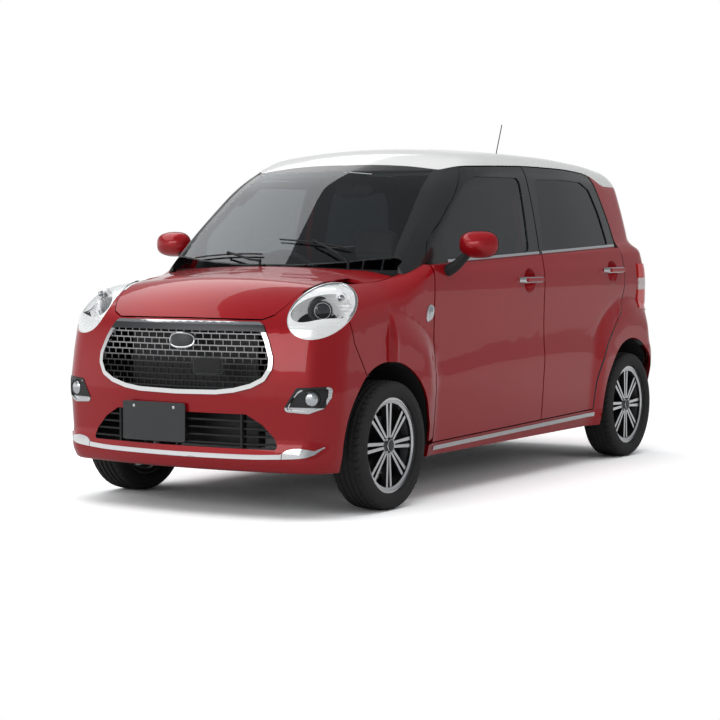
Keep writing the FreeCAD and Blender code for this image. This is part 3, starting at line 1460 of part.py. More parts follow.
for side in (-1, 1):
    inner = V(side * engine_edge, front_axle, tyre_radius)
    shafts.append(rod(inner, V(side * shaft_end, front_axle, tyre_radius), shaft_radius))
    shafts.append(rod(V(side * (shaft_end - boot_length), front_axle, tyre_radius),
                      V(side * shaft_end, front_axle, tyre_radius), boot_radius))
keep("engine", engine.fuse(mounts + shafts))

# Front suspension: subframe and lower arms
subframe_z = (210.0, 262.0)
subframe_y = (-1010.0, -930.0)
arm_thickness = 22.0
ball_radius = 20.0
arm_top = ball_joint.z - strut_tube * 0.9 * abs(strut_dir.x) - seat_gap
subframe = box(-rail_x - rail_size, rail_x + rail_size, *subframe_y, *subframe_z)
hangers = [box(x - rail_size, x + rail_size, *subframe_y, subframe_z[1], rail_z - rail_size - seat_gap)
           for x in (-rail_x, rail_x)]


arm_reach = 70.0
arm_shares = (0.72, 0.86, 0.96)


def lower_arm():
    near, neck, far = [rail_x * share for share in arm_shares]
    outer = V(ball_joint.x, front_axle, arm_top - arm_thickness)
    points = [V(outer.x + ball_radius, front_axle, outer.z), V(outer.x, front_axle - ball_radius, outer.z),
              V(neck, front_axle - arm_reach, outer.z), V(near, front_axle - arm_reach, outer.z),
              V(near, subframe_y[1], outer.z), V(far, subframe_y[1], outer.z),
              V(outer.x, front_axle + ball_radius, outer.z)]
    arm = Part.Face(polygon(points)).extrude(V(0, 0, arm_thickness))
    foot = box(near, far, subframe_y[0], subframe_y[1], outer.z, subframe_z[0] + overrun / 4)
    return arm.fuse(foot)


arm_left = lower_arm()
keep("front_suspension", subframe.fuse(hangers + [arm_left, mirrored(arm_left)]))

# Rear axle: twist beam, trailing arms, springs and hubs
beam_y = 1180.0
beam_z = 262.0
beam_radius = 34.0
trail_x = 495.0
trail_front = 1015.0
trail_z = 250.0
rear_hub_face = track_rear / 2 + spoke_plane - hub_depth - seat_gap
drum_radius = 96.0
drum_depth = 26.0
spring_y = 1255.0
spring_x = 455.0
rear_spring_radius = 46.0
spring_pad_x = 30.0
spring_pad_y = 45.0
spring_pad_z = (10.0, 8.0)
bush_ends = (40.0, 22.0)
lug_half = (12.0, 20.0)


def rear_axle_side():
    arm = rod(V(trail_x, trail_front, trail_z), V(trail_x, rear_axle, tyre_radius), beam_radius * 0.9)
    bush = rod(V(trail_x - bush_ends[0], trail_front, trail_z), V(trail_x + bush_ends[1], trail_front, trail_z),
               beam_radius * 1.3)
    hub = rod(V(trail_x, rear_axle, tyre_radius), V(rear_hub_face, rear_axle, tyre_radius), hub_radius * 1.2)
    drum = rod(V(rear_hub_face - drum_depth, rear_axle, tyre_radius), V(rear_hub_face, rear_axle, tyre_radius),
               drum_radius)
    pad = box(spring_x - spring_pad_x, trail_x, spring_y - spring_pad_y, spring_y + spring_pad_y,
              beam_z - spring_pad_z[0], beam_z + spring_pad_z[1])
    under_floor = load_floor - floor_wall - seat_gap
    coil = rod(V(spring_x, spring_y, beam_z), V(spring_x, spring_y, under_floor), rear_spring_radius)
    lug = box(trail_x - lug_half[0], trail_x + lug_half[0], trail_front - lug_half[1], trail_front + lug_half[1], trail_z,
              under_floor)
    return arm.fuse([bush, hub, drum, pad, coil, lug])


rear_left = rear_axle_side()
cross = rod(V(-trail_x, beam_y, beam_z), V(trail_x, beam_y, beam_z), beam_radius)
keep("rear_axle", cross.fuse([rear_left, mirrored(rear_left)]))

# Fuel tank and exhaust
tank_x = (-420.0, 330.0)
tank_y = (684.0, 905.0)
tank_z = (196.0, seat_step - floor_wall - seat_gap)
tank = box(*tank_x, *tank_y, *tank_z)
keep("fuel_tank", tank.makeFillet(overrun * 0.6, tank.Edges))
pipe_radius = 21.0
muffler = (-120.0, 300.0, 1420.0, 1560.0, 225.0, 345.0)
pipe_z = floor_height - floor_wall - seat_gap - pipe_radius
pipe_route = ((60.0, subframe_y[1] + pipe_radius / 2, 60.0), (60.0, -700.0, 0.0), (380.0, 600.0, 0.0), (400.0, 980.0, 0.0),
              (220.0, 1100.0, 12.0), (120.0, 1330.0, 70.0), (90.0, 1440.0, 100.0))
tail_pipe_end = 1650.0
tail_pipe_rise = 20.0
pipe_lap = 10.0
strap_inset = 90.0
strap_y = (50.0, 80.0)


def exhaust():
    route = [V(x, y, pipe_z + rise) for x, y, rise in pipe_route]
    made = [rod(route[k], route[k + 1], pipe_radius) for k in range(len(route) - 1)]
    made += [Part.makeSphere(pipe_radius, p) for p in route[1:-1]]
    can = box(*muffler)
    can = can.makeFillet(overrun, [e for e in can.Edges if abs(e.tangentAt(0).x) > 0.9])
    tail_pipe = rod(V(muffler[0] + overrun, muffler[3] - pipe_lap, muffler[4] + overrun),
                    V(muffler[0] + overrun, tail_pipe_end, muffler[4] + tail_pipe_rise), pipe_radius * 0.9)
    strap = box(muffler[0] + strap_inset, muffler[1] - strap_inset, muffler[2] + strap_y[0], muffler[2] + strap_y[1],
                muffler[5] - pipe_lap / 2, load_floor - floor_wall - seat_gap)
    return made[0].fuse(made[1:] + [can, tail_pipe, strap])


keep("exhaust", exhaust())

# Brackets for the number plates, each with two bolt holes
plate_spacing = 210.0
plate_hole = 3.2
bracket_half = 140.0
bracket_rise = 13.5
front_plate = (-113.0, 446.0)
rear_plate = (0.0, 500.0)
front_bracket_face = -1701.0
rear_bracket_face = 1701.0


def plate_bracket(x, z, face, facing):
    made = box(x - bracket_half, x + bracket_half, min(face, face + facing * overrun),
               max(face, face + facing * overrun), z - bracket_rise, z + bracket_rise)
    holes = [rod(V(x + s * plate_spacing / 2, face - facing * overrun, z),
                 V(x + s * plate_spacing / 2, face + facing * 2 * overrun, z), plate_hole) for s in (-1, 1)]
    return made.cut(holes)


front_bracket = plate_bracket(*front_plate, front_bracket_face, 1)
bracket_span = (front_plate[1] - 2 * overrun, front_plate[1] + 2 * overrun)
bracket_sweep = (0.0, -1150.0, -40.0, 40.0)
front_bracket = front_bracket.cut(slab(lower_body, 2 * seat_gap, -2 * overrun,
                                       corner_ray(*bracket_sweep, *bracket_span), 30, 12))
rear_bracket = plate_bracket(*rear_plate, rear_bracket_face, -1)
rear_bracket = rear_bracket.cut(slab(walls, 2 * seat_gap, -2 * overrun, bumper_rays, 60, 22))
keep("plate_brackets", Part.makeCompound([front_bracket, rear_bracket]))

# Aerial
aerial_place = V(0.0, 1148.0, 0.0)
aerial_tip = V(0.0, 1228.0, 1774.0)
aerial_radius = 2.6
aerial_base = 14.0
aerial_foot = meet(cabin, aerial_radius / 2, V(aerial_place.x, aerial_place.y, belt_height), V(0, 0, 1))
base = Part.makeCone(aerial_base, aerial_radius * 1.6, aerial_base * 1.8, aerial_foot, V(0, 0, 1))
keep("aerial", base.fuse(rod(aerial_foot + V(0, 0, aerial_radius), aerial_tip, aerial_radius)))

# Door mirrors, which ride on the front doors
mirror_place = V(846.0, -592.0, 1128.0)
mirror_size = V(104.0, 62.0, 66.0)
mirror_flat = 26.0
foot_y = -628.0
foot_z = 1012.0
foot_radius = 36.0


def door_mirror():
    ball = Part.makeSphere(1.0)
    scale = FreeCAD.Matrix()
    scale.scale(mirror_size)
    shell = ball.transformGeometry(scale)
    shell.translate(mirror_place)
    shell = shell.cut(box(0.0, width, mirror_place.y + mirror_flat, mirror_place.y + length, 0.0, 2 * height))
    skin = on_skin(walls, foot_y, foot_z)
    out = V(foot_radius * 0.8, 0, 0)
    pad = rod(skin - V(foot_radius * 0.3, 0, 0), skin + out, foot_radius)
    knee = Part.makeSphere(foot_radius * 0.82, skin + out)
    neck = rod(skin + out, mirror_place - V(mirror_size.x * 0.45, 0, mirror_size.z * 0.45), foot_radius * 0.62)
    made = pad.fuse([knee, neck, shell])
    return made.cut(slab(walls, seat_gap, -overrun, side_ray(flat(foot_y - 2 * foot_radius), flat(foot_y + 2 * foot_radius),
                                                            lambda y: foot_z - 2 * foot_radius, belt), 10, 10))


keep("mirror_left", door_mirror())

# Wipers
wiper_pivots = (-30.0, 398.0)
wiper_spindle = 6.5
arm_bar = 5.0
blade_bar = 6.0
arm_run = 230.0
blade_half = 195.0
blade_lift = 5.5
wiper_sweep = 14.0
screen_normal = V(0, -0.6, 0.8)


def on_screen(x, y, lift):
    """Point above the windscreen, off its face by a lift."""
    return meet(cabin, 0.0, V(x, y, belt_height - 3 * overrun), V(0, 0, 1)) + screen_normal * lift


def wiper(x):
    """Arm and blade from a spindle that stands between the hood's rear edge and the glass."""
    y = hood_rear_line + hood_rear_bow * (x / hood_rear_reach) ** 2 + screen_trim / 2
    foot = meet(lower_body, -cowl_drop + wiper_spindle / 3, V(x, y, belt_height - 3 * overrun), V(0, 0, 1))
    top = foot + V(0, 0, wiper_spindle * 5.5)
    end_x = x - arm_run * math.cos(math.radians(wiper_sweep))
    end_y = y + arm_run * math.sin(math.radians(wiper_sweep)) + overrun / 2
    lift = blade_lift + blade_bar + 2 * arm_bar
    run = [top - V(0, 0, arm_bar)]
    for k in range(1, 5):
        at_x, at_y = x + (end_x - x) * k / 4, y + (end_y - y) * k / 4
        screen = on_screen(at_x, at_y, lift)
        run.append(screen if screen.z > run[0].z else V(at_x, at_y, run[0].z))
    made = [rod(foot, top, wiper_spindle)]
    made += [rod(run[k], run[k + 1], arm_bar) for k in range(4)]
    made += [Part.makeSphere(arm_bar, p) for p in run[1:-1]]
    blade = [on_screen(end_x + blade_half * t, end_y - overrun * 0.3 * t, blade_lift + blade_bar * 0.6)
             for t in (-1, -0.6, -0.2, 0.2, 0.6, 1)]
    made += [rod(blade[k], blade[k + 1], blade_bar * 0.6) for k in range(5)]
    made.append(rod(run[-1], (blade[2] + blade[3]) * 0.5, arm_bar))
    return made[0].fuse(made[1:])


keep("wipers", Part.makeCompound([wiper(x) for x in wiper_pivots]))

# Right-hand pieces: what moves is a piece of its own, what is fixed shares one with its mirror image
moving = ("front_door", "rear_door", "front_glass", "rear_glass", "mirror", "knuckle")
for name in moving:
    keep(name + "_right", mirrored(nodes[name + "_left"]))
pairs = {"screen_pillar": "screen_pillars", "side_frame": "side_frames", "sill": "sills", "quarter": "quarters",
         "tail_lamp": "tail_lamps", "headlamp": "headlamps", "headlamp_lens": "headlamp_lenses",
         "front_fender": "front_fenders", "fog_lamp": "fog_lamps", "sill_strip": "sill_strips"}
for name, plural in pairs.items():
    keep(plural, both(nodes.pop(name + "_left")))
keep("wheelhouses", Part.makeCompound(both(nodes.pop("wheelhouse_front_left")).Solids
                                      + both(nodes.pop("wheelhouse_rear_left")).Solids))
keep("front_seats", Part.makeCompound([nodes.pop("seat_front_left"), nodes.pop("seat_front_right")]))


def report(name, shape):
    print(name, shape.isValid(), len(shape.Solids), round(shape.Volume), shape.BoundBox)


if __name__ == "__main__":
    os.makedirs("parts", exist_ok=True)
    for name, shape in nodes.items():
        report(name, shape)
        shape.exportStep("parts/" + name + ".step")
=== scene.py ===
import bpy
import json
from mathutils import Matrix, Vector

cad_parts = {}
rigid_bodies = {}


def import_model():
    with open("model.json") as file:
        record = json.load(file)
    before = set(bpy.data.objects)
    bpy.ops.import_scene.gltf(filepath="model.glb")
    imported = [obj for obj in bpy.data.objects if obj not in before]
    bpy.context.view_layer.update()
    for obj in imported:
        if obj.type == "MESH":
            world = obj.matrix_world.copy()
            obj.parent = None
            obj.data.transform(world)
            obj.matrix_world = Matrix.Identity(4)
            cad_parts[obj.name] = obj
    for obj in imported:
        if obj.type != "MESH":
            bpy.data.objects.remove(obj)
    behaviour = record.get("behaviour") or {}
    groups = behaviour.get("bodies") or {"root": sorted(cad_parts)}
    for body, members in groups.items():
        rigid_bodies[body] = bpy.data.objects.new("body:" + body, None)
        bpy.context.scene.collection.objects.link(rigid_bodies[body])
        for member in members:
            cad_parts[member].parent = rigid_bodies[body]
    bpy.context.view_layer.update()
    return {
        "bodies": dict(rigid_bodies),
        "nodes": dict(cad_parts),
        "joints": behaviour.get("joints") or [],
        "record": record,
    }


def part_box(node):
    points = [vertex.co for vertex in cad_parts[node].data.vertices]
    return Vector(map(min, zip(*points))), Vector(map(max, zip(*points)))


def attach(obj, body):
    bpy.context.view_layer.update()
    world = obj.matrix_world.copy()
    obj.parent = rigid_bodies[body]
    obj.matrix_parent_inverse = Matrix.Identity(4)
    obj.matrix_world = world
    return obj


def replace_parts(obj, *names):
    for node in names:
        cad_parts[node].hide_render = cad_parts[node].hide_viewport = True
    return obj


bl_info = {
    "name": "Small Upright Car",
    "version": (1, 0, 0),
    "blender": (4, 5, 0),
    "location": "3D View > Sidebar > Small Car",
    "description": "Finishes, trim, lamps, tyres and soft seats for a small upright car",
    "category": "Object",
}

import json
import math

import bmesh
import bpy
from bpy.props import FloatProperty, FloatVectorProperty, IntProperty, PointerProperty
from mathutils import Matrix, Vector
from mathutils.bvhtree import BVHTree

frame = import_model()
NODES = frame["nodes"]
SIDES = (("left", 1), ("right", -1))
ACROSS, FORWARD, UP = Vector((1, 0, 0)), Vector((0, -1, 0)), Vector((0, 0, 1))


# Finishes

class Tone:
    """One socket of a finish. Sums on it, from either side, add Math nodes to the finish."""

    def __init__(self, finish, socket):
        self.finish = finish
        self.socket = socket

    def math(self, operation, *values):
        return self.finish.node("ShaderNodeMath", {"operation": operation}, dict(enumerate(values)))

    def __add__(self, other):
        return self.math("ADD", self, other)

    def __radd__(self, other):
        return self.math("ADD", other, self)

    def __sub__(self, other):
        return self.math("SUBTRACT", self, other)

    def __rsub__(self, other):
        return self.math("SUBTRACT", other, self)

    def __mul__(self, other):
        return self.math("MULTIPLY", self, other)

    def __rmul__(self, other):
        return self.math("MULTIPLY", other, self)

    def __truediv__(self, other):
        return self.math("DIVIDE", self, other)

    def __rtruediv__(self, other):
        return self.math("DIVIDE", other, self)

    def __pow__(self, other):
        return self.math("POWER", self, other)

    def __rpow__(self, other):
        return self.math("POWER", other, self)

    def __abs__(self):
        return self.math("ABSOLUTE", self)

    def wave(self):
        return self.math("SINE", self)

    def sign(self):
        return self.math("SIGN", self)

    def most(self, other):
        return self.math("MAXIMUM", self, other)

    def least(self, other):
        return self.math("MINIMUM", self, other)

    def fade(self, low, high):
        """0 below low, 1 above high, smooth between them."""
        return self.finish.node("ShaderNodeMapRange", {"interpolation_type": "SMOOTHSTEP"},
                                {"Value": self, "From Min": low, "From Max": high})


class Finish:
    """The nodes of a material or a world."""

    def __init__(self, owner):
        owner.use_nodes = True
        self.material = owner
        self.tree = owner.node_tree
        self.tree.nodes.clear()

    def node(self, kind, settings=None, values=None, out=0):
        """Adds a node, sets it, then gives its sockets values or links."""
        made = self.tree.nodes.new(kind)
        for key, value in (settings or {}).items():
            setattr(made, key, value)
        for key, value in (values or {}).items():
            if isinstance(value, Tone):
                self.tree.links.new(value.socket, made.inputs[key])
            else:
                made.inputs[key].default_value = value
        if isinstance(out, tuple):
            return tuple(Tone(self, made.outputs[o]) for o in out)
        return Tone(self, made.outputs[out]) if made.outputs else None

    def place(self):
        return self.node("ShaderNodeTexCoord", out="Object")

    def axes(self, vector=None):
        """Three numbers: a vector's own, or else the place on the piece."""
        return self.node("ShaderNodeSeparateXYZ", values={0: vector or self.place()}, out=(0, 1, 2))

    def facing(self):
        """The surface's own normal, as three numbers."""
        return self.axes(self.node("ShaderNodeTexCoord", out="Normal"))

    def grain(self, scale, detail=3.0):
        values = {"Vector": self.place(), "Scale": scale, "Detail": detail}
        return self.node("ShaderNodeTexNoise", values=values)

    def cells(self, scale, out="Distance"):
        return self.node("ShaderNodeTexVoronoi", values={"Vector": self.place(), "Scale": scale}, out=out)

    def rays(self):
        """Whether a ray comes from the camera or through glass, and whether it was mirrored."""
        seen, shone, through = self.node(
            "ShaderNodeLightPath", out=("Is Camera Ray", "Is Glossy Ray", "Is Transmission Ray"))
        return seen.most(through), shone

    def blend(self, factor, first, second):
        return self.node("ShaderNodeMix", {"data_type": "RGBA"},
                         {0: factor, 6: rgba(first), 7: rgba(second)}, out=2)

    def bump(self, height, strength, distance):
        values = {"Height": height, "Strength": strength, "Distance": distance}
        return self.node("ShaderNodeBump", values=values)

    def principled(self, **values):
        named = {}
        for key, value in values.items():
            named[key.replace("_", " ")] = rgba(value) if "Color" in key else value
        return self.node("ShaderNodeBsdfPrincipled", values=named)

    def speckled(self, first, second, coarse, fine, vary, rough, **more):
        """Two tones mixed by a coarse grain, with a roughness that varies by a fine one."""
        return self.principled(Base_Color=self.blend(self.grain(coarse), first, second),
                               Roughness=self.grain(fine) * vary + rough, **more)

    def surface(self, shader):
        self.node("ShaderNodeOutputMaterial", values={"Surface": shader})
        return self.material


def rgba(colour):
    return colour if isinstance(colour, Tone) or len(colour) == 4 else (*colour, 1.0)


def trim():
    return bpy.context.scene.car_trim


def colours():
    return bpy.context.scene.car_colours


FINISHES = {}


def finish(name):
    """The material of that name, made the first time that it is asked for."""
    if name not in FINISHES:
        FINISHES[name] = MAKERS[name](Finish(bpy.data.materials.new(name)))
    return FINISHES[name]


def mixed(f, factor, first, second):
    return f.node("ShaderNodeMixShader", values={0: factor, 1: first, 2: second})


def paint(f, colour, flakes=0.0):
    """Lacquered paint: a faint cloud in the colour, fine flake in its gloss and orange peel on it."""
    base = f.blend(f.grain(1.7, 2.0) * 0.35, colour, tuple(c * 0.82 for c in colour[:3]))
    spark, _, _ = f.axes(f.cells(2600.0, out="Color"))
    return f.principled(Base_Color=base, Metallic=flakes, Roughness=spark * 0.12 + 0.30,
                        Normal=f.bump(f.grain(240.0, 1.0), 0.05, 0.0004),
                        Specular_IOR_Level=0.2, Coat_Weight=0.8, Coat_Roughness=0.03)


def red(f):
    return paint(f, colours().red, colours().red_metal)


def black(f):
    return f.speckled((0.013, 0.013, 0.014), (0.019, 0.019, 0.020), 6.0, 90.0, 0.08, 0.20,
                      Coat_Weight=0.6, Coat_Roughness=0.08)


def plastic(f, colour=(0.055, 0.053, 0.055), rough=0.55):
    """Grained plastic; without a colour, that of the doors' inner side."""
    return f.speckled(colour, tuple(c * 1.35 for c in colour[:3]), 9.0, 60.0, 0.12, rough - 0.06,
                      Normal=f.bump(f.cells(700.0), 0.25, 0.0005))


def bumper_paint(f):
    """Red outside, and painted dark where the skin faces the engine, as painted shade for the duct behind the
    grille.
    """
    x, y, z = f.axes()
    nx, ny, nz = f.facing()
    # Painted shade: faces turned towards the engine are dark, standing in for shade behind the grille
    inner = (nx * x * -1.0 - ny * (y + 0.75) * 1.2 - nz * (z - 0.5)).fade(0.05, 0.12)
    return f.surface(mixed(f, inner, red(f), plastic(f, (0.012, 0.012, 0.012), 0.8)))


def door_paint(f):
    """Red below the belt line, black on the sash, grained trim on the inside."""
    x, y, z = f.axes()
    nx, _, _ = f.facing()
    sash = (z - y * trim().belt_rise - trim().belt_height).fade(0.0005, 0.0035)
    inner = (nx * x.sign() * -1.0).fade(0.30, 0.45)
    return f.surface(mixed(f, inner, mixed(f, sash, red(f), black(f)), plastic(f)))


def lined(colour, lining, flakes):
    """Paint outside, a soft lining where the surface faces the cabin."""
    def make(f):
        x, y, z = f.axes()
        nx, ny, nz = f.facing()
        inward = (nx * x * -1.0 - ny * (y - 0.3) - nz * (z - 0.95)).fade(0.02, 0.06)
        weave = f.bump(f.cells(1400.0), 0.35, 0.0004)
        soft = f.speckled(lining, tuple(c * 0.85 for c in lining), 14.0, 40.0, 0.1, 0.85, Normal=weave)
        chosen = getattr(colours(), colour)
        return f.surface(mixed(f, inward, paint(f, chosen, flakes), soft))
    return make


GATE_WINDOW_FOOT = 1.035


def tailgate_paint(f):
    """Red gate with a gloss black frame round its window."""
    _, _, z = f.axes()
    _, ny, _ = f.facing()
    band = (z - GATE_WINDOW_FOOT).fade(0.0, 0.003)
    inner = (ny * -1.0).fade(0.35, 0.5)
    return f.surface(mixed(f, inner, mixed(f, band, red(f), black(f)), plastic(f)))


def plain(shader, *values):
    """Makes a finish that is one shader all over."""
    return lambda f: f.surface(shader(f, *values))


def speckled(*tones, **more):
    """Makes a finish of two tones and two grains, as Finish.speckled takes them."""
    return lambda f: f.surface(f.speckled(*tones, **more))


def smoked(f):
    """Dark plated plastic of the grille, darkest at its foot; its upper part is painted silver and metallic as
    a painted glint.
    """
    _, _, z = f.axes()
    # Painted glint: above this height the grille is painted silver in place of reflected light
    lit = z.fade(0.62, 0.70)
    return f.surface(f.principled(Base_Color=f.blend(lit, (0.012, 0.012, 0.013), (0.46, 0.46, 0.47)),
                                  Metallic=lit * 0.85, Roughness=f.grain(40.0) * 0.08 + 0.20))


def pane_gloss(f, low):
    """How strongly glass mirrors by its angle. Faces seen from behind don't."""
    gloss = f.node("ShaderNodeFresnel", values={"IOR": 1.52})
    behind = f.node("ShaderNodeNewGeometry", out="Backfacing")
    return (gloss * 1.1 + low).least(1.0) * (1.0 - behind)


def glass(tint, low=0.04):
    """Thin tinted glass: it lets light through dimmed, and shines by its angle."""
    def make(f):
        haze = f.grain(3.0)
        clear = f.node("ShaderNodeBsdfTransparent", values={"Color": rgba(tint)})
        shine = f.principled(Base_Color=(0.9, 0.93, 0.95), Metallic=1.0, Roughness=haze * 0.02 + 0.01)
        return f.surface(mixed(f, pane_gloss(f, low), clear, shine))
    return make


def screen_glass(f):
    """Windscreen with the black band that hides its glue."""
    lo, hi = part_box("windscreen")
    rows = [v.co for v in NODES["windscreen"].data.vertices]
    low = max(abs(v.x) for v in rows if v.z < lo.z + 0.12)
    high = max(abs(v.x) for v in rows if v.z > hi.z - 0.03)
    x, _, z = f.axes()
    share = ((z - lo.z) / (hi.z - lo.z)).least(1.0)
    reach = share * (high - low) + (low - 0.030)
    band = (abs(x) - reach).fade(0.0, 0.006).most((z - (hi.z - 0.034)).fade(0.0, 0.006))
    clear = f.node("ShaderNodeBsdfTransparent", values={"Color": rgba(colours().screen_tint)})
    shine = f.principled(Base_Color=(0.9, 0.93, 0.95), Metallic=1.0, Roughness=0.012)
    pane = mixed(f, pane_gloss(f, 0.03), clear, shine)
    return f.surface(mixed(f, band, pane, black(f)))


def rubber(f):
    """Tyre rubber with greyer dust."""
    dust = f.grain(22.0, 5.0)
    tone = f.blend(dust, (0.016, 0.016, 0.017), (0.034, 0.033, 0.033))
    fine = f.bump(f.grain(420.0, 2.0), 0.18, 0.0006)
    return f.surface(f.principled(Base_Color=tone, Roughness=dust * 0.2 + 0.62, Normal=fine))


def wheel_alloy(f):
    """Polished faces with dark pockets between the spokes and inside the rim."""
    x, _, _ = f.axes()
    nx, _, _ = f.facing()
    outward = (nx * x.sign()).fade(0.55, 0.80)
    face = outward * (abs(x) - 0.685).fade(0.0, 0.012)
    tone = f.blend(face, (0.10, 0.10, 0.105), (0.80, 0.81, 0.83))
    brushed = f.bump(f.grain(260.0, 1.0), 0.06, 0.0004)
    return f.surface(f.principled(Base_Color=tone, Metallic=0.95, Roughness=0.40 - face * 0.22,
                                  Coat_Weight=face * 0.6, Normal=brushed))


def metal(colour, rough, metallic, rust=0.0):
    def make(f):
        spots = f.grain(35.0, 6.0)
        tone = f.blend(spots.fade(0.52, 0.75) * rust, colour, (0.12, 0.055, 0.03))
        return f.surface(f.principled(Base_Color=tone, Metallic=metallic, Roughness=spots * 0.2 + rough - 0.1,
                                      Normal=f.bump(f.grain(180.0), 0.2, 0.0006)))
    return make


def floor_lining(f):
    """Carpet where the floor faces up, underseal where it faces down."""
    _, _, nz = f.facing()
    up = nz.fade(-0.3, -0.1)
    tuft = f.cells(900.0)
    carpet = f.principled(Base_Color=f.blend(tuft, (0.035, 0.035, 0.037), (0.075, 0.073, 0.072)),
                          Roughness=0.95, Normal=f.bump(tuft, 0.7, 0.002))
    seal = f.principled(Base_Color=f.blend(f.grain(8.0), (0.018, 0.018, 0.018), (0.035, 0.034, 0.032)),
                        Roughness=0.8, Normal=f.bump(f.grain(90.0), 0.5, 0.0015))
    return f.surface(mixed(f, up, seal, carpet))


def lamp_bowl(f):
    """Bright fluted inside of a lamp, with a faint painted glow on it though the lamp is not lit. Its housing
    is dark from behind.
    """
    x, y, z = f.axes()
    nx, ny, nz = f.facing()
    front = LAMP_CENTRE + LAMP_AIM * LAMP_WATCH
    to_front = nx * (x.sign() * front.x - x) + ny * (y * -1.0 + front.y) + nz * (z * -1.0 + front.z)
    inside = to_front.fade(-0.001, 0.003)
    silver = f.blend(f.grain(40.0), (0.97, 0.97, 0.97), (0.93, 0.93, 0.93))
    return f.surface(f.principled(Base_Color=f.blend(inside, (0.012, 0.012, 0.012), silver), Metallic=0.28,
                                  # Painted glow: the inside faces emit white light with no lamp lit behind them
                                  Emission_Color=f.blend(inside, (0.0, 0.0, 0.0), (1.0, 1.0, 1.0)),
                                  Emission_Strength=0.22, Roughness=f.grain(12.0) * 0.06 + 0.24,
                                  Normal=f.bump((z * 420.0).wave(), 0.16, 0.0012)))


def fog_bowl(f):
    """Dark inside with a bright edge below and outside."""
    x, _, z = f.axes()
    lip = (1.0 - (z - 0.462).fade(0.0, 0.004)).most((abs(x) - 0.672).fade(0.0, 0.004))
    tone = f.blend(lip, (0.030, 0.030, 0.032), (0.82, 0.83, 0.85))
    return f.surface(f.principled(Base_Color=tone, Metallic=lip * 0.6 + 0.2,
                                  Roughness=f.grain(60.0) * 0.08 + 0.18,
                                  Normal=f.bump((z * 520.0).wave(), 0.15, 0.001)))


def surround_chrome(f):
    """Chrome with a dark satin band under its top edge."""
    _, _, z = f.axes()
    band = (z - 0.768).fade(0.0, 0.002) * (1.0 - (z - 0.797).fade(0.0, 0.003))
    tone = f.blend(band, (0.86, 0.87, 0.88), (0.10, 0.10, 0.105))
    return f.surface(f.principled(Base_Color=tone, Metallic=1.0,
                                  Roughness=f.grain(30.0) * 0.05 + band * 0.25 + 0.06))


def tail_red(f):
    """Red lens with fine ribs and a clear band for the reversing lamp. It has a faint painted red glow on every
    part that takes it, reflectors too, though no lamp is lit.
    """
    _, _, z = f.axes()
    lo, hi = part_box("tail_lamps")
    middle = (lo.z + hi.z) / 2
    clear = (z - (middle - 0.012)).fade(0.0, 0.002) * (1.0 - (z - (middle + 0.050)).fade(0.0, 0.002))
    return f.surface(f.principled(Base_Color=f.blend(clear, (0.62, 0.010, 0.008), (0.66, 0.65, 0.64)),
                                  # Painted glow: a faint red emission on the lenses and reflectors, with no
                                  # lamp lit
                                  Emission_Color=(0.5, 0.0, 0.0), Emission_Strength=0.10,
                                  Roughness=f.grain(50.0) * 0.05 + 0.12, Coat_Weight=1.0,
                                  Normal=f.bump((z * 900.0).wave(), 0.25, 0.0008)))


def seat_cloth(f):
    """Woven cloth with a fine rib across it."""
    x, y, z = f.axes()
    threads = 1500.0
    weave = ((x * threads).wave() * ((y + z) * threads).wave()) * 0.5 + 0.5
    tone = colours().cloth
    blend = f.blend(weave * 0.6 + f.grain(30.0) * 0.4, tone, tuple(c * 0.55 for c in tone[:3]))
    return f.surface(f.principled(Base_Color=blend, Roughness=0.9, Sheen_Weight=0.3,
                                  Normal=f.bump(weave, 0.5, 0.0008)))


MAKERS = {
    "red paint": plain(red),
    "bumper paint": bumper_paint,
    "door paint": door_paint,
    "tailgate paint": tailgate_paint,
    "black paint": plain(black),
    "roof paint": lined("roof", (0.55, 0.54, 0.52), 0.0),
    "quarter paint": lined("red", (0.11, 0.11, 0.11), 0.35),
    "grained black": plain(plastic, (0.011, 0.011, 0.012), 0.58),
    "liner": plain(plastic, (0.014, 0.014, 0.014), 0.85),
    "dashboard": plain(plastic, (0.035, 0.034, 0.035), 0.62),
    "leather": plain(plastic, (0.028, 0.027, 0.027), 0.42),
    "pale trim": plain(plastic, (0.20, 0.195, 0.185), 0.55),
    "bright": speckled((0.86, 0.87, 0.88), (0.78, 0.79, 0.81), 5.0, 30.0, 0.05, 0.06, Metallic=1.0),
    "mirror glass": speckled((0.72, 0.75, 0.78), (0.66, 0.69, 0.72), 6.0, 20.0, 0.01, 0.015, Metallic=1.0),
    "dark plate": speckled((0.045, 0.046, 0.048), (0.058, 0.060, 0.062), 3.0, 50.0, 0.06, 0.38),
    "display": speckled((0.010, 0.011, 0.013), (0.016, 0.018, 0.022), 4.0, 30.0, 0.04, 0.06, Coat_Weight=1.0),
    "smoked": smoked,
    "surround chrome": surround_chrome,
    "screen glass": screen_glass,
    "side glass": glass((0.34, 0.36, 0.37), 0.07),
    "rear glass": glass((0.13, 0.14, 0.15), 0.07),
    "lamp glass": glass((0.98, 0.985, 0.985), 0.02),
    "lamp bowl": lamp_bowl,
    "fog bowl": fog_bowl,
    "tail red": tail_red,
    "rubber": rubber,
    "wheel alloy": wheel_alloy,
    "steel": metal((0.055, 0.055, 0.058), 0.5, 0.6, 0.15),
    "cast": metal((0.16, 0.16, 0.165), 0.6, 0.7, 0.25),
    "exhaust steel": metal((0.30, 0.28, 0.26), 0.45, 0.9, 0.35),
    "alloy casting": metal((0.42, 0.42, 0.43), 0.5, 0.85),
    "floor lining": floor_lining,
    "seat cloth": seat_cloth,
}

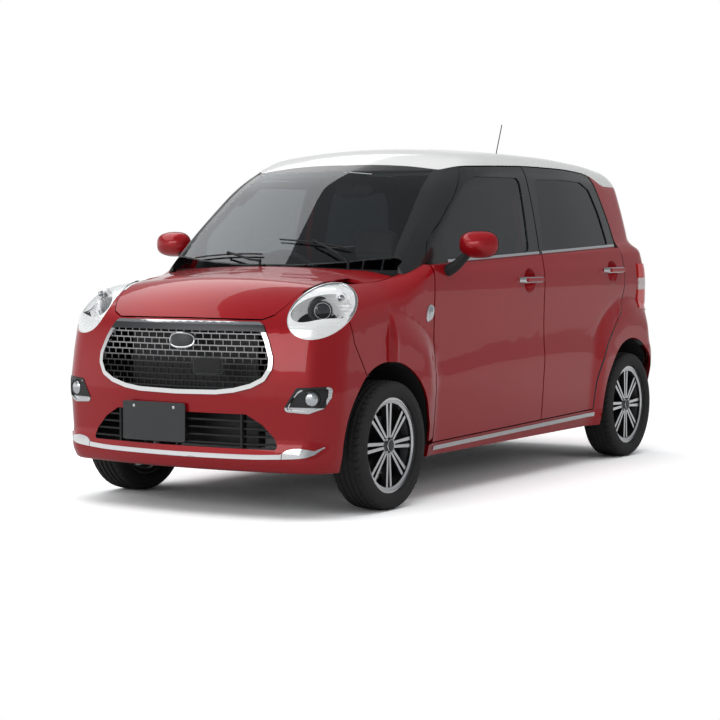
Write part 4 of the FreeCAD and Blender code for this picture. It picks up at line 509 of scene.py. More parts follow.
NODE_FINISHES = {
    "red paint": ("rear_bumper", "sills", "mirror_left", "mirror_right"),
    "bumper paint": ("front_bumper", "hood", "front_fenders"),
    "door paint": ("front_door_left", "front_door_right", "rear_door_left", "rear_door_right"),
    "fog bowl": ("fog_lamps",),
    "surround chrome": ("grille_surround",),
    "tailgate paint": ("tailgate",),
    "quarter paint": ("quarters", "side_frames"),
    "roof paint": ("roof_panel",),
    "black paint": ("screen_pillars",),
    "screen glass": ("windscreen",),
    "side glass": ("front_glass_left", "front_glass_right"),
    "rear glass": ("rear_glass_left", "rear_glass_right", "tailgate_glass"),
    "lamp glass": ("headlamp_lenses",),
    "lamp bowl": ("headlamps",),
    "tail red": ("tail_lamps",),
    "bright": ("bumper_strip", "sill_strips"),
    "smoked": ("grille",),
    "grained black": ("grille_shroud", "lower_grille", "cowl", "wipers", "plate_brackets", "aerial",
                      "fuel_tank"),
    "liner": ("wheelhouses",),
    "floor lining": ("floor_pan",),
    "dashboard": ("dashboard",),
    "leather": ("steering_wheel",),
    "seat cloth": ("front_seats", "seat_rear"),
    "wheel alloy": ("wheel_front_left", "wheel_front_right", "wheel_rear_left", "wheel_rear_right"),
    "rubber": ("tyre_front_left", "tyre_front_right", "tyre_rear_left", "tyre_rear_right"),
    "cast": ("knuckle_left", "knuckle_right"),
    "alloy casting": ("engine",),
    "steel": ("front_rails", "front_suspension", "rear_axle"),
    "exhaust steel": ("exhaust",),
}


# Pieces

# The slot of each finish, for the pieces that name none
PLASTICS = ("grained black", "dark plate", "dashboard", "leather", "display", "pale trim")
SLOTS = {"bright": "bright", "rubber": "rubber", "steel": "dark_metal", "tail red": "lamp_red",
         "seat cloth": "cloth", **dict.fromkeys(PLASTICS, "dark_plastic")}


def piece(name, shape, surface, body="root", slot=None, angle=35.0):
    """A mesh from points and faces that rides on a body and takes one finish."""
    points, faces = shape
    mesh = bpy.data.meshes.new(name)
    mesh.from_pydata([tuple(p) for p in points], [], faces)
    mesh.validate()
    made = bmesh.new()
    made.from_mesh(mesh)
    bmesh.ops.recalc_face_normals(made, faces=made.faces)
    made.to_mesh(mesh)
    made.free()
    mesh.shade_smooth()
    mesh.set_sharp_from_angle(angle=math.radians(angle))
    shown = bpy.data.objects.new(name, mesh)
    bpy.context.scene.collection.objects.link(shown)
    mesh.materials.append(finish(surface))
    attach(shown, body)
    slot or SLOTS[surface]
    return shown


def grid_faces(rows, columns, around=False, start=0):
    """Quads between rows of points; around joins each row's end to its start."""
    last = columns if around else columns - 1
    return [(start + r * columns + c, start + r * columns + (c + 1) % columns,
             start + (r + 1) * columns + (c + 1) % columns, start + (r + 1) * columns + c)
            for r in range(rows - 1) for c in range(last)]


def turned(profile, count, centre, axis, sideways=None):
    """Points and faces of a profile of (radius, height) turned about an axis."""
    axis = Vector(axis).normalized()
    first = Vector(sideways) if sideways else axis.orthogonal()
    first = (first - axis * first.dot(axis)).normalized()
    second = axis.cross(first)
    points = []
    for r, h in profile:
        for k in range(count):
            a = 2 * math.pi * k / count
            points.append(Vector(centre) + axis * h + (first * math.cos(a) + second * math.sin(a)) * r)
    return points, grid_faces(len(profile), count, True)


def swept(path, normals, section, shares=None):
    """Points and faces of a closed section carried along a path; it stands on the normals."""
    points = []
    for k, p in enumerate(path):
        along = (path[min(k + 1, len(path) - 1)] - path[max(k - 1, 0)]).normalized()
        up = (normals[k] - along * normals[k].dot(along)).normalized()
        side = along.cross(up)
        scale = shares[k] if shares else 1.0
        points += [p + side * (a * scale) + up * (b * scale) for a, b in section]
    faces = grid_faces(len(path), len(section), True)
    count = len(section)
    faces += [tuple(range(count - 1, -1, -1)), tuple(range(len(points) - count, len(points)))]
    return points, faces


def rounded(corners, rounds):
    """A closed loop of points with its corners cut off round by round."""
    for _ in range(rounds):
        loop = []
        for k, p in enumerate(corners):
            q = corners[(k + 1) % len(corners)]
            loop += [p.lerp(q, 0.25), p.lerp(q, 0.75)]
        corners = loop
    return corners


def oval_section(half_wide, half_high, count=10):
    return [(half_wide * math.cos(2 * math.pi * k / count), half_high * math.sin(2 * math.pi * k / count))
            for k in range(count)]


def joined(*parts):
    """Several pairs of points and faces as one."""
    points, faces = [], []
    for some, quads in parts:
        start = len(points)
        points += list(some)
        faces += [tuple(i + start for i in q) for q in quads]
    return points, faces


def mirrored(points):
    return [Vector((-p[0], p[1], p[2])) for p in points]


def paired(shapes):
    """Adds shapes on the car's left and their mirror images on its right. {} in a body or node is a side."""
    for side, s in SIDES:
        for name, (points, faces), surface, body, slot, *replaced in shapes:
            placed = mirrored(points) if s < 0 else points
            shown = piece(name + side, (placed, faces), surface, body.format(side), slot)
            for node in replaced:
                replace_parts(shown, node.format(side))


def rod(start, end, half_wide, half_high, steps=5, count=12, up=ACROSS):
    """Points and faces of a straight bar."""
    path = [Vector(start).lerp(Vector(end), k / steps) for k in range(steps + 1)]
    return swept(path, [up] * len(path), oval_section(half_wide, half_high, count))


def soft_box(size, centre, radius, tilt=0.0, steps=3):
    """Points and faces of a box with rounded edges, tilted about its axis across the car."""
    made = bmesh.new()
    bmesh.ops.create_cube(made, size=1.0, matrix=Matrix.Diagonal((*size, 1.0)))
    bmesh.ops.bevel(made, geom=made.edges[:], offset=radius, segments=steps, profile=0.5, affect="EDGES")
    place = Matrix.Translation(centre) @ Matrix.Rotation(tilt, 4, "X")
    points = [place @ v.co for v in made.verts]
    faces = [tuple(v.index for v in f.verts) for f in made.faces]
    made.free()
    return points, faces


def lofted_plate(outline, depth, crown, to_point, rings=4):
    """Points and faces of a thin plate with a rounded edge. The outline is flat (a, b) points round (0, 0),
    and to_point(a, b, h) puts a point in space with h above the seat."""
    rows = []
    for share, h in ((1.0, 0.0), (1.0, depth * 0.55), (0.985, depth * 0.85), (0.95, depth)):
        rows.append([to_point(a * share, b * share, h) for a, b in outline])
    for k in range(1, rings + 1):
        share = 0.95 * (1 - k / (rings + 0.35))
        rows.append([to_point(a * share, b * share, depth + crown * (1 - share ** 2)) for a, b in outline])
    points = [p for row in rows for p in row]
    count = len(outline)
    faces = grid_faces(len(rows), count, True)
    faces += [tuple(range(count)), tuple(range(len(points) - count, len(points)))]
    return points, faces


def super_oval(a, b, power=2.6, count=48):
    made = []
    for k in range(count):
        t = 2 * math.pi * k / count
        c, s = math.cos(t), math.sin(t)
        made.append((a * math.copysign(abs(c) ** (2 / power), c), b * math.copysign(abs(s) ** (2 / power), s)))
    return made


def skin_of(*names):
    """Search tree over the surfaces of CAD nodes."""
    points, faces = [], []
    for name in names:
        mesh = NODES[name].data
        start = len(points)
        points += [v.co.copy() for v in mesh.vertices]
        faces += [[i + start for i in p.vertices] for p in mesh.polygons]
    return BVHTree.FromPolygons(points, faces)


def hit(tree, origin, direction):
    """The first point of a surface that a ray meets, with its normal turned towards the ray's start."""
    point, normal, _, _ = tree.ray_cast(Vector(origin), Vector(direction).normalized())
    if point is None:
        raise RuntimeError(f"no surface on the ray from {tuple(origin)} along {tuple(direction)}")
    return point, normal if normal.dot(Vector(direction)) < 0 else -normal


def side_hit(tree, y, z):
    return hit(tree, (1.5, y, z), (-1, 0, 0))


def front_hit(tree, x, z):
    return hit(tree, (x, -2.5, z), (0, 1, 0))


def tint(name, text, value):
    return FloatVectorProperty(name=name, description=text, subtype="COLOR", size=3, min=0.0, max=1.0,
                               default=value)


def number(name, text, value):
    return FloatProperty(name=name, description=text, default=value)


def share(name, text, value):
    return FloatProperty(name=name, description=text, subtype="FACTOR", min=0.0, max=1.0, default=value)


def length(name, text, value):
    return FloatProperty(name=name, description=text, unit="LENGTH", default=value)


def turn(name, text, degrees):
    return FloatProperty(name=name, description=text, subtype="ANGLE", default=math.radians(degrees))


def power(name, text, watts):
    return FloatProperty(name=name, description=text, unit="POWER", default=watts)


class CarColours(bpy.types.PropertyGroup):
    """Colours of the car, in linear light."""
    red: tint("Body red", "Colour of the lacquered body", (0.42, 0.003, 0.009))
    red_metal: share("Red flake", "Share of metal flake in the red paint", 0.34)
    roof: tint("Roof white", "Colour of the roof", (0.78, 0.78, 0.77))
    screen_tint: tint("Screen tint", "Light that the windscreen lets through", (0.74, 0.77, 0.77))
    cloth: tint("Seat cloth", "Colour of the seat cloth", (0.42, 0.41, 0.39))


class CarTrim(bpy.types.PropertyGroup):
    """Sizes of the trim, plates and tyres."""
    belt_height: length("Belt height", "Height of the belt line half way along the car", 1.064)
    belt_rise: number("Belt rise", "Rise of the belt line for each metre towards the tail", 0.0366)
    plate_width: length("Plate width", "Width of a number plate", 0.330)
    plate_height: length("Plate height", "Height of a number plate", 0.165)
    tread_depth: length("Tread depth", "Depth of the grooves round a tyre", 0.006)
    tread_blocks: IntProperty(name="Tread blocks", description="Blocks round a tyre's shoulder", min=24,
                              max=90, default=54)
    wheel_bolts: IntProperty(name="Wheel bolts", description="Bolts on each wheel", min=3, max=6, default=4)


class SeatSizes(bpy.types.PropertyGroup):
    """How the seats are padded."""
    voxel: length("Cloth cell", "Size of the cells that the padding is made of", 0.014)
    pressure: number("Pressure", "How hard the padding pushes out its cover", 4.0)
    swell: length("Swell", "The furthest that a point of the cover may move", 0.014)


class StageSizes(bpy.types.PropertyGroup):
    """Camera, floor and lamps."""
    camera_place: FloatVectorProperty(
        name="Camera place", description="Where the camera stands", size=3, subtype="TRANSLATION",
        unit="LENGTH", default=(4.92034, -8.13943, 1.13813))
    camera_turn: turn("Camera turn", "Heading of the camera", 31.887)
    camera_tilt: turn("Camera tilt", "How far the camera looks down", 3.491)
    lens: FloatProperty(name="Lens", description="Focal length for a sensor 36 mm wide", unit="CAMERA",
                        default=96.618)
    floor_radius: length("Floor radius", "Radius of the floor", 26.0)
    top_power: power("Top light", "Power of the wide lamp overhead", 150.0)
    strip_power: power("Strip light", "Power of the long lamp over the car's right side", 115.0)
    side_power: power("Side light", "Power of the lamp at the car's left", 35.0)
    front_power: power("Front light", "Power of the lamp before the nose", 60.0)
    sky: number("Sky", "Strength of the even light from all round", 0.42)


class CAR_OT_stage(bpy.types.Operator):
    """Sets up the camera, the pale floor and the studio light"""
    bl_idname = "car.stage"
    bl_label = "Stage"

    def execute(self, context):
        s = context.scene.car_stage
        eye = bpy.data.cameras.new("camera")
        eye.lens, eye.sensor_width, eye.sensor_fit = s.lens, 36.0, "HORIZONTAL"
        holder = bpy.data.objects.new("camera", eye)
        holder.location = s.camera_place
        holder.rotation_euler = (math.pi / 2 - s.camera_tilt, 0.0, s.camera_turn)
        context.scene.collection.objects.link(holder)
        context.scene.camera = holder
        self.light(context)
        self.floor(context, s.floor_radius)
        context.scene.view_settings.view_transform = "Standard"
        return {"FINISHED"}

    def light(self, context):
        s = context.scene.car_stage
        for name, place, aim, size, watts, seen in (
                ("top light", (0.6, -0.6, 4.6), (0.6, -0.6, 0.0), (5.0, 6.5), s.top_power, False),
                ("strip light", (-3.7, -0.6, 4.6), (-3.7, -0.6, 0.0), (3.0, 9.0), s.strip_power, True),
                ("side light", (6.0, 0.8, 2.6), (0.6, 0.2, 0.9), (5.5, 2.0), s.side_power, False),
                ("front light", (-1.8, -6.5, 2.6), (0.0, -1.2, 0.8), (4.5, 1.8), s.front_power, True)):
            lamp = bpy.data.lights.new(name, "AREA")
            lamp.shape, lamp.size, lamp.size_y, lamp.energy = "RECTANGLE", *size, watts
            holder = bpy.data.objects.new(name, lamp)
            holder.location = place
            holder.rotation_euler = (Vector(aim) - Vector(place)).to_track_quat("-Z", "Y").to_euler()
            holder.visible_glossy = seen
            context.scene.collection.objects.link(holder)
        world = bpy.data.worlds.new("studio")
        context.scene.world = world
        sky = Finish(world)
        watched, shone = sky.rays()
        east, _, rise = sky.axes(sky.node("ShaderNodeTexCoord", out="Generated"))
        dim = rise.fade(0.05, 0.50).most(east.fade(-0.35, 0.45) * 0.85)

        def background(colour, strength):
            return sky.node("ShaderNodeBackground", values={"Color": rgba(colour), "Strength": strength})

        mirror = background(sky.blend(dim, (0.92, 0.92, 0.92), (0.22, 0.23, 0.24)), 0.92)
        lit = mixed(sky, shone, background((0.96, 0.98, 1.0), s.sky), mirror)
        shown = mixed(sky, watched, lit, background((1.0, 1.0, 1.0), 1.0))
        sky.node("ShaderNodeOutputWorld", values={"Surface": shown})

    def floor(self, context, radius):
        """A disc that is grey under the car and fades to white around it."""
        f = Finish(bpy.data.materials.new("pale floor"))
        x, y, _ = f.axes()
        far = ((x * x + y * y) ** 0.5).fade(2.2, 4.4)
        watched, shone = f.rays()

        def shining(strength):
            return f.node("ShaderNodeEmission", values={"Color": (1.0, 1.0, 1.0, 1.0), "Strength": strength})

        plain = f.principled(Base_Color=f.blend(f.grain(0.6), (0.50, 0.50, 0.50), (0.52, 0.52, 0.52)),
                             Roughness=0.85, Specular_IOR_Level=0.1)
        pale = f.node("ShaderNodeBsdfDiffuse", values={"Color": (1.5, 1.5, 1.5, 1.0)})
        unwatched = mixed(f, shone, plain, mixed(f, far, plain, shining(0.55)))
        f.surface(mixed(f, watched, unwatched, mixed(f, far, pale, shining(1.0))))
        rings, count = (1.5, 3.0, 5.0, 9.0, radius), 96
        points = [(0.0, 0.0, 0.0)]
        for r in rings:
            points += [(r * math.cos(2 * math.pi * k / count), r * math.sin(2 * math.pi * k / count), 0.0)
                       for k in range(count)]
        faces = [(0, 1 + k, 1 + (k + 1) % count) for k in range(count)]
        faces += grid_faces(len(rings), count, True, 1)
        mesh = bpy.data.meshes.new("floor")
        mesh.from_pydata(points, [], faces)
        mesh.materials.append(f.material)
        shown = bpy.data.objects.new("floor", mesh)
        context.scene.collection.objects.link(shown)


class CAR_OT_finishes(bpy.types.Operator):
    """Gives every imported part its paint, glass, rubber or metal"""
    bl_idname = "car.finishes"
    bl_label = "Finishes"

    def execute(self, context):
        named = set()
        for surface, names in NODE_FINISHES.items():
            for name in names:
                mesh = NODES[name].data
                mesh.materials.clear()
                mesh.materials.append(finish(surface))
                for polygon in mesh.polygons:
                    polygon.material_index = 0
                named.add(name)
        left = sorted(set(NODES) - named)
        if left:
            raise RuntimeError(f"no finish for {left}")
        return {"FINISHED"}


SPOTS = ("front_left", "front_right", "rear_left", "rear_right")

# One side of a tyre's section as (place across, radius), from the bead up to the tread
TYRE_HALF = ((0.0545, 0.1905), (0.0590, 0.2046), (0.0700, 0.2056), (0.0745, 0.2085), (0.0780, 0.2150),
             (0.0800, 0.2230), (0.0812, 0.2236), (0.0822, 0.2262), (0.0823, 0.2292), (0.0824, 0.2380),
             (0.0815, 0.2475), (0.0790, 0.2570), (0.0745, 0.2645), (0.0690, 0.2698))
TYRE_RADIUS = 0.276
TREAD_STEPS = 40
TREAD_HALF = 0.0645
TREAD_CROWN = 0.0038
# Grooves round the tyre, as (place across, half width), and the steps round it that one block takes
GROOVES = ((-0.038, 0.0042), (-0.0125, 0.0045), (0.0125, 0.0045), (0.038, 0.0042))
BLOCK_STEPS = 6


class CAR_OT_tyres(bpy.types.Operator):
    """Builds the four tyres with their grooves, blocks and notched shoulders"""
    bl_idname = "car.tyres"
    bl_label = "Tyres"

    def execute(self, context):
        t = trim()
        count = t.tread_blocks * BLOCK_STEPS
        side = [(x, r, False) for x, r in TYRE_HALF]
        tread = []
        for k in range(TREAD_STEPS + 1):
            x = TREAD_HALF * (1 - 2 * k / TREAD_STEPS)
            tread.append((x, TYRE_RADIUS - TREAD_CROWN * abs(x / TREAD_HALF) ** 4, True))
        profile = side + tread + [(-x, r, False) for x, r, _ in side[::-1]]
        for spot in SPOTS:
            lo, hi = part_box("tyre_" + spot)
            centre = (lo + hi) / 2
            points = []
            for x, r, on_tread in profile:
                for k in range(count):
                    a = 2 * math.pi * k / count
                    lower = self.groove(x, k, t.tread_depth) if on_tread else self.shoulder(r, k)
                    points.append(centre + Vector((x, (r - lower) * math.cos(a), (r - lower) * math.sin(a))))
            faces = grid_faces(len(profile), count, True)
            last = (len(profile) - 1) * count
            faces += [(last + k, last + (k + 1) % count, (k + 1) % count, k) for k in range(count)]
            made = piece("tyre_" + spot + "_tread", (points, faces), "rubber", "wheel_" + spot, angle=28.0)
            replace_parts(made, "tyre_" + spot)
        return {"FINISHED"}

    def groove(self, x, k, depth):
        """How far the tread lies lower at a place across and a step round the tyre."""
        if any(abs(x - middle) < half for middle, half in GROOVES):
            return depth
        lean = int(round(abs(x) / TREAD_HALF * 5))
        if abs(x) > 0.043 and (k + lean) % BLOCK_STEPS == 0:
            return depth * 0.75
        if 0.018 < abs(x) < 0.034 and (k + lean + BLOCK_STEPS // 2) % BLOCK_STEPS == 0:
            return depth * 0.5
        return 0.0

    def shoulder(self, r, k):
        return 0.0022 if 0.262 < r < 0.272 and (k + BLOCK_STEPS - 1) % BLOCK_STEPS == 0 else 0.0


# Turned pieces of a wheel, as (radius, height): all stand on the wheel's middle but the valve, on its own foot
CAP = ((0.0008, 0.0665), (0.010, 0.0662), (0.018, 0.0652), (0.0225, 0.0636), (0.0250, 0.0622),
       (0.0262, 0.0600))
CAP_RING = ((0.0235, 0.0625), (0.0248, 0.0645), (0.0262, 0.0648), (0.0275, 0.0635), (0.0280, 0.0610))
NUT = ((0.0004, 0.0605), (0.0045, 0.0605), (0.0062, 0.0590), (0.0075, 0.0560), (0.0075, 0.0440))
VALVE = ((0.0001, 0.026), (0.0026, 0.026), (0.0030, 0.024), (0.0030, 0.012), (0.0044, 0.010), (0.0048, 0.0))
NUT_CIRCLE = 0.0375
VALVE_TURN = math.radians(67.5)
VALVE_PLACE = (0.052, 0.181)


class CAR_OT_wheels(bpy.types.Operator):
    """Adds bolts, plain centre caps and valves to the wheels"""
    bl_idname = "car.wheels"
    bl_label = "Wheel fittings"

    def execute(self, context):
        for spot in SPOTS:
            lo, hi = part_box("tyre_" + spot)
            c = (lo + hi) / 2
            out = 1 if c.x > 0 else -1
            axis, body = ACROSS * out, "wheel_" + spot
            points, faces = turned(CAP, 40, c, axis)
            piece(f"cap_{spot}", (points, faces + [tuple(range(40))]), "dark plate", body)
            piece(f"cap_ring_{spot}", turned(CAP_RING, 40, c, axis), "bright", body)
            nuts = []
            for k in range(trim().wheel_bolts):
                spoke = self.spoke(2 * math.pi * (k + 0.5) / trim().wheel_bolts)
                nuts.append(turned(NUT, 6, c + spoke * NUT_CIRCLE, axis))
            piece(f"bolts_{spot}", joined(*nuts), "bright", body, angle=25.0)
            spoke = self.spoke(VALVE_TURN)
            foot = c + axis * VALVE_PLACE[0] + spoke * VALVE_PLACE[1]
            piece(f"valve_{spot}", turned(VALVE, 12, foot, axis * 0.7 - spoke), "rubber", body)
        return {"FINISHED"}

    def spoke(self, angle):
        return Vector((0, math.cos(angle), math.sin(angle)))


def facing_side(heading):
    """The way that a heading points, in degrees from straight ahead towards the car's left."""
    return Vector((math.sin(math.radians(heading)), -math.cos(math.radians(heading)), 0.0))


# The headlamp is an oval that faces along its aim, with its long axis tilted up towards the car's side
LAMP_CENTRE = Vector((0.590, -1.471, 0.855))
LAMP_AIM = facing_side(31.9)
LAMP_TILT = math.radians(27)
LAMP_ACROSS = Vector((-LAMP_AIM.y, LAMP_AIM.x, 0.0))
LAMP_LONG = LAMP_ACROSS * math.cos(LAMP_TILT) + UP * math.sin(LAMP_TILT)
LAMP_SHORT = UP * math.cos(LAMP_TILT) - LAMP_ACROSS * math.sin(LAMP_TILT)
# Faces that look towards a point this far in front of the lamp are its inside
LAMP_WATCH = 0.600
# Half widths of the rim and of the bowl, and how far the rim lies behind the lens
LAMP_RIM = (0.1465, 0.0925)
LAMP_BOWL = (0.145, 0.091)
RIM_SUNK = 0.0125

# Turned pieces of the lamps, as (radius, height)
PROJECTOR = ((0.0330, -0.0010), (0.0325, 0.0010), (0.0290, 0.0035), (0.0200, 0.0065), (0.0100, 0.0080),
             (0.0003, 0.0085))
COLLAR = ((0.0345, -0.0580), (0.0420, -0.0350), (0.0425, -0.0060), (0.0405, 0.0005), (0.0375, 0.0015),
          (0.0350, 0.0010), (0.0335, -0.0020))
SIGNAL = ((0.0150, 0.0), (0.0148, 0.0080), (0.0125, 0.0150), (0.0075, 0.0200), (0.0003, 0.0215))
SIGNAL_HOLDER = ((0.0155, 0.004), (0.0205, 0.001), (0.0225, -0.008), (0.0225, -0.030))
FOG_RIM = ((0.0360, -0.012), (0.0360, 0.0060), (0.0340, 0.0095), (0.0315, 0.0095), (0.0300, 0.0060))
FOG_LENS = ((0.0302, 0.0050), (0.0270, 0.0085), (0.0180, 0.0120), (0.0080, 0.0135), (0.0003, 0.0138))


def lamp_point(along, short, depth):
    """A point of the headlamp by its distances from the centre along both axes and behind it."""
    return LAMP_CENTRE + LAMP_LONG * along + LAMP_SHORT * short - LAMP_AIM * depth


class CAR_OT_headlamps(bpy.types.Operator):
    """Fills the headlamps: rim, projector with its collar and brow, wings and signal bulb"""
    bl_idname = "car.headlamps"
    bl_label = "Headlamps"

    def execute(self, context):
        tip = lamp_point(0.0, 0.0, 0.0165)
        signal_foot = lamp_point(0.092, 0.012, 0.042)
        paired((("lamp_rim_", self.rim(), "bright", "root", "bright"),
                ("projector_", turned(PROJECTOR, 40, tip, LAMP_AIM), "display", "root", "clear_glass"),
                ("projector_collar_", turned(COLLAR, 48, tip, LAMP_AIM), "black paint", "root", "dark_plastic"),
                ("lamp_brow_", self.brow(), "black paint", "root", "dark_plastic"),
                ("lamp_wings_", self.wings(), "bright", "root", "lamp_silver"),
                ("signal_", turned(SIGNAL, 24, signal_foot, LAMP_AIM), "mirror glass", "root", "lamp_silver"),
                ("signal_holder_", turned(SIGNAL_HOLDER, 32, signal_foot, LAMP_AIM), "lamp bowl", "root",
                 "lamp_silver")))
        return {"FINISHED"}

    def rim(self):
        lens = skin_of("headlamp_lenses")
        steps, clear = 64, 0.4
        path = []
        for k in range(steps + 1):
            a = 2 * math.pi * k / steps
            before = lamp_point(LAMP_RIM[0] * math.cos(a), LAMP_RIM[1] * math.sin(a), -clear)
            path.append(hit(lens, before, -LAMP_AIM)[0] - LAMP_AIM * RIM_SUNK)
        return swept(path, [LAMP_AIM] * len(path), oval_section(0.0060, 0.0040))

    def brow(self):
        """Crescent over the projector's inner side, thin at both ends."""
        radius, depth, thin, grow = 0.0520, 0.024, 0.25, 0.2
        path = []
        for degrees in range(48, 260, 8):
            a = math.radians(degrees)
            path.append(lamp_point(radius * math.cos(a), radius * math.sin(a), depth))
        last = len(path) - 1
        shares = [min(1.0, thin + grow * min(k, last - k)) for k in range(last + 1)]
        return swept(path, [LAMP_AIM] * len(path), oval_section(0.0105, 0.0050, 16), shares)

    def wings(self):
        """Three bright steps under the projector, each deeper than the one outside it."""
        steps, start, span, outer_depth, fall = 12, 205, 100, 0.024, 0.030
        made = []
        for out in (0.42, 0.62, 0.80):
            path = []
            for k in range(steps + 1):
                a = math.radians(start + span * k / steps)
                path.append(lamp_point(LAMP_BOWL[0] * out * math.cos(a), LAMP_BOWL[1] * out * math.sin(a),
                                       outer_depth + fall * (1 - out)))
            made.append(swept(path, [LAMP_AIM] * len(path), oval_section(0.0035, 0.0075)))
        return joined(*made)


# Corners of the fog lamp's opening, and the place of its lamp as (x, z)
FOG_CORNERS = ((0.498, -1.634, 0.446), (0.560, -1.616, 0.546), (0.685, -1.502, 0.551), (0.684, -1.509, 0.503),
               (0.667, -1.534, 0.463), (0.613, -1.587, 0.440))
FOG_PLACE = (0.617, 0.500)
FOG_SUNK = 0.006


class CAR_OT_fog_lamps(bpy.types.Operator):
    """Puts a round lamp and its bright bezel in each fog lamp recess"""
    bl_idname = "car.fog_lamps"
    bl_label = "Fog lamps"

    def execute(self, context):
        skin = skin_of("fog_lamps")
        corners = [Vector(c) for c in FOG_CORNERS]
        middle = sum(corners, Vector()) / len(corners)
        path = [skin.find_nearest(point)[0] for point in rounded([middle.lerp(c, 0.95) for c in corners], 3)]
        path.append(path[0])
        outward = Vector((0.6, -1.0, 0.0)).normalized()
        bezel = swept(path, [outward] * len(path), oval_section(0.0048, 0.0030, 8))
        aim = Vector((0.22, -1.0, 0.0))
        foot = front_hit(skin, *FOG_PLACE)[0] - FORWARD * FOG_SUNK
        paired((("fog_bezel_", bezel, "bright", "root", "bright"),
                ("fog_rim_", turned(FOG_RIM, 40, foot, aim), "black paint", "root", "dark_plastic"),
                ("fog_lens_", turned(FOG_LENS, 36, foot, aim), "mirror glass", "root", "lamp_silver")))
        return {"FINISHED"}


# Half widths, height of the middle and shape of the badge place and of the sensor cover
BADGE = {"half": (0.062, 0.030), "z": 0.728, "power": 2.4}
SENSOR = {"half": (0.0595, 0.0315), "x": 0.1525, "z": 0.6245, "power": 9.0}


class CAR_OT_nose(bpy.types.Operator):
    """Adds the bare badge place and the sensor cover with its frame"""
    bl_idname = "car.nose"
    bl_label = "Nose fittings"

    def execute(self, context):
        skin = skin_of("grille", "grille_surround", "grille_shroud")
        badge_front = self.foremost(skin, -0.06, 0.06, 0.70, 0.755)
        sensor_front = self.foremost(skin, 0.093, 0.212, 0.593, 0.656)

        def badge_point(a, b, h):
            bow, lean, sunk = 3.2, 0.10, 0.006
            return Vector((a, badge_front + sunk - h + bow * a * a + lean * b, BADGE["z"] + b))

        def sensor_point(a, b, h):
            turned_out, sunk = 0.25, 0.004
            return Vector((SENSOR["x"] + a, sensor_front + sunk - h + turned_out * a, SENSOR["z"] + b))

        badge = super_oval(*BADGE["half"], BADGE["power"])
        piece("badge_place", lofted_plate(badge, 0.012, 0.003, badge_point), "dark plate")
        path = [badge_point(a * 1.02, b * 1.02, 0.0115) for a, b in badge]
        piece("badge_rim", self.frame(path, 0.0045, 10), "bright")
        sensor = super_oval(*SENSOR["half"], SENSOR["power"])
        piece("sensor_cover", lofted_plate(sensor, 0.009, 0.0015, sensor_point), "grained black")
        path = [sensor_point(a * 1.03, b * 1.05, 0.0065) for a, b in sensor]
        piece("sensor_frame", self.frame(path, 0.0030, 8), "dark plate")
        return {"FINISHED"}

    def foremost(self, skin, x0, x1, z0, z1):
        """How far forward the nose reaches within a window of the front view."""
        found = []
        for i in range(7):
            for j in range(5):
                try:
                    found.append(front_hit(skin, x0 + (x1 - x0) * i / 6, z0 + (z1 - z0) * j / 4)[0].y)
                except RuntimeError:
                    continue
        return min(found)

    def frame(self, path, radius, count):
        path = path + path[:1]
        return swept(path, [FORWARD] * len(path), oval_section(radius, radius, count))


# Number plates: name, place as (x, z), and the way that they face
PLATES = (("plate_front", -0.113, 0.384, -1), ("plate_rear", 0.0, 0.438, 1))
# A plate's section from its hidden back to its middle, as (share of its half height, height)
PLATE_SECTION = ((0.90, -0.0140), (0.93, -0.0035), (0.94, -0.0012), (1.0, -0.0010), (1.0, 0.0012),
                 (0.992, 0.0019), (0.975, 0.0019), (0.966, 0.0012), (0.5, 0.0012), (0.02, 0.0012))
PLATE_POINTS = 96
PLATE_SUNK = 0.0034
# Screw head as (radius, height), and its distances from the plate's middle
SCREW = ((0.0065, 0.0), (0.0062, 0.0009), (0.0045, 0.0013), (0.0012, 0.0014), (0.0010, 0.0008),
         (0.0002, 0.0008))
SCREW_ACROSS, SCREW_UP = 0.105, 0.062


class CAR_OT_plates(bpy.types.Operator):
    """Fixes a blank plate with a pressed edge and two screws at each end of the car"""
    bl_idname = "car.plates"
    bl_label = "Number plates"

    def execute(self, context):
        half_wide, half_high = trim().plate_width / 2, trim().plate_height / 2
        lo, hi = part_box("plate_brackets")
        for name, x, z, out in PLATES:
            face = hi.y if out > 0 else lo.y

            def point(a, b, h, x=x, z=z, face=face, out=out):
                return Vector((x + a * -out, face + out * (h - PLATE_SUNK), z + b))

            outline = super_oval(half_wide, half_high, 26.0, PLATE_POINTS)
            rows = []
            for inward, h in PLATE_SECTION:
                edge = inward > 0.85
                narrow = 1 - (1 - inward) * half_high / half_wide if edge else inward
                rows += [point(a * narrow, b * inward, h) for a, b in outline]
            faces = grid_faces(len(PLATE_SECTION), PLATE_POINTS, True)
            faces += [tuple(range(PLATE_POINTS)), tuple(range(len(rows) - PLATE_POINTS, len(rows)))]
            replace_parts(piece(name, (rows, faces), "dark plate"), "plate_brackets")
            heads = [turned(SCREW, 20, point(s * SCREW_ACROSS, SCREW_UP, 0.0010), (0, out, 0)) for s in (-1, 1)]
            piece(name + "_screws", joined(*heads), "bright")
        return {"FINISHED"}


# Middle of each grip as (y, z), and how far from it the door's skin is measured on both sides
HANDLES = {"front": (0.161, 0.958), "rear": (1.118, 0.993)}
HANDLE_FEET = 0.118
# A grip's whole length, how far its middle rises and how deep its ends lie in the door
HANDLE_LENGTH = 0.216
HANDLE_RISE = 0.0265
HANDLE_SUNK = 0.004
HANDLE_STEPS = 32
# The lock's distance behind the front grip's middle, and its section as (radius, height)
LOCK_PLACE = 0.127
LOCK = ((0.0105, -0.002), (0.0105, 0.0012), (0.0090, 0.0024), (0.0040, 0.0026), (0.0036, 0.0012),
        (0.0003, 0.0012))


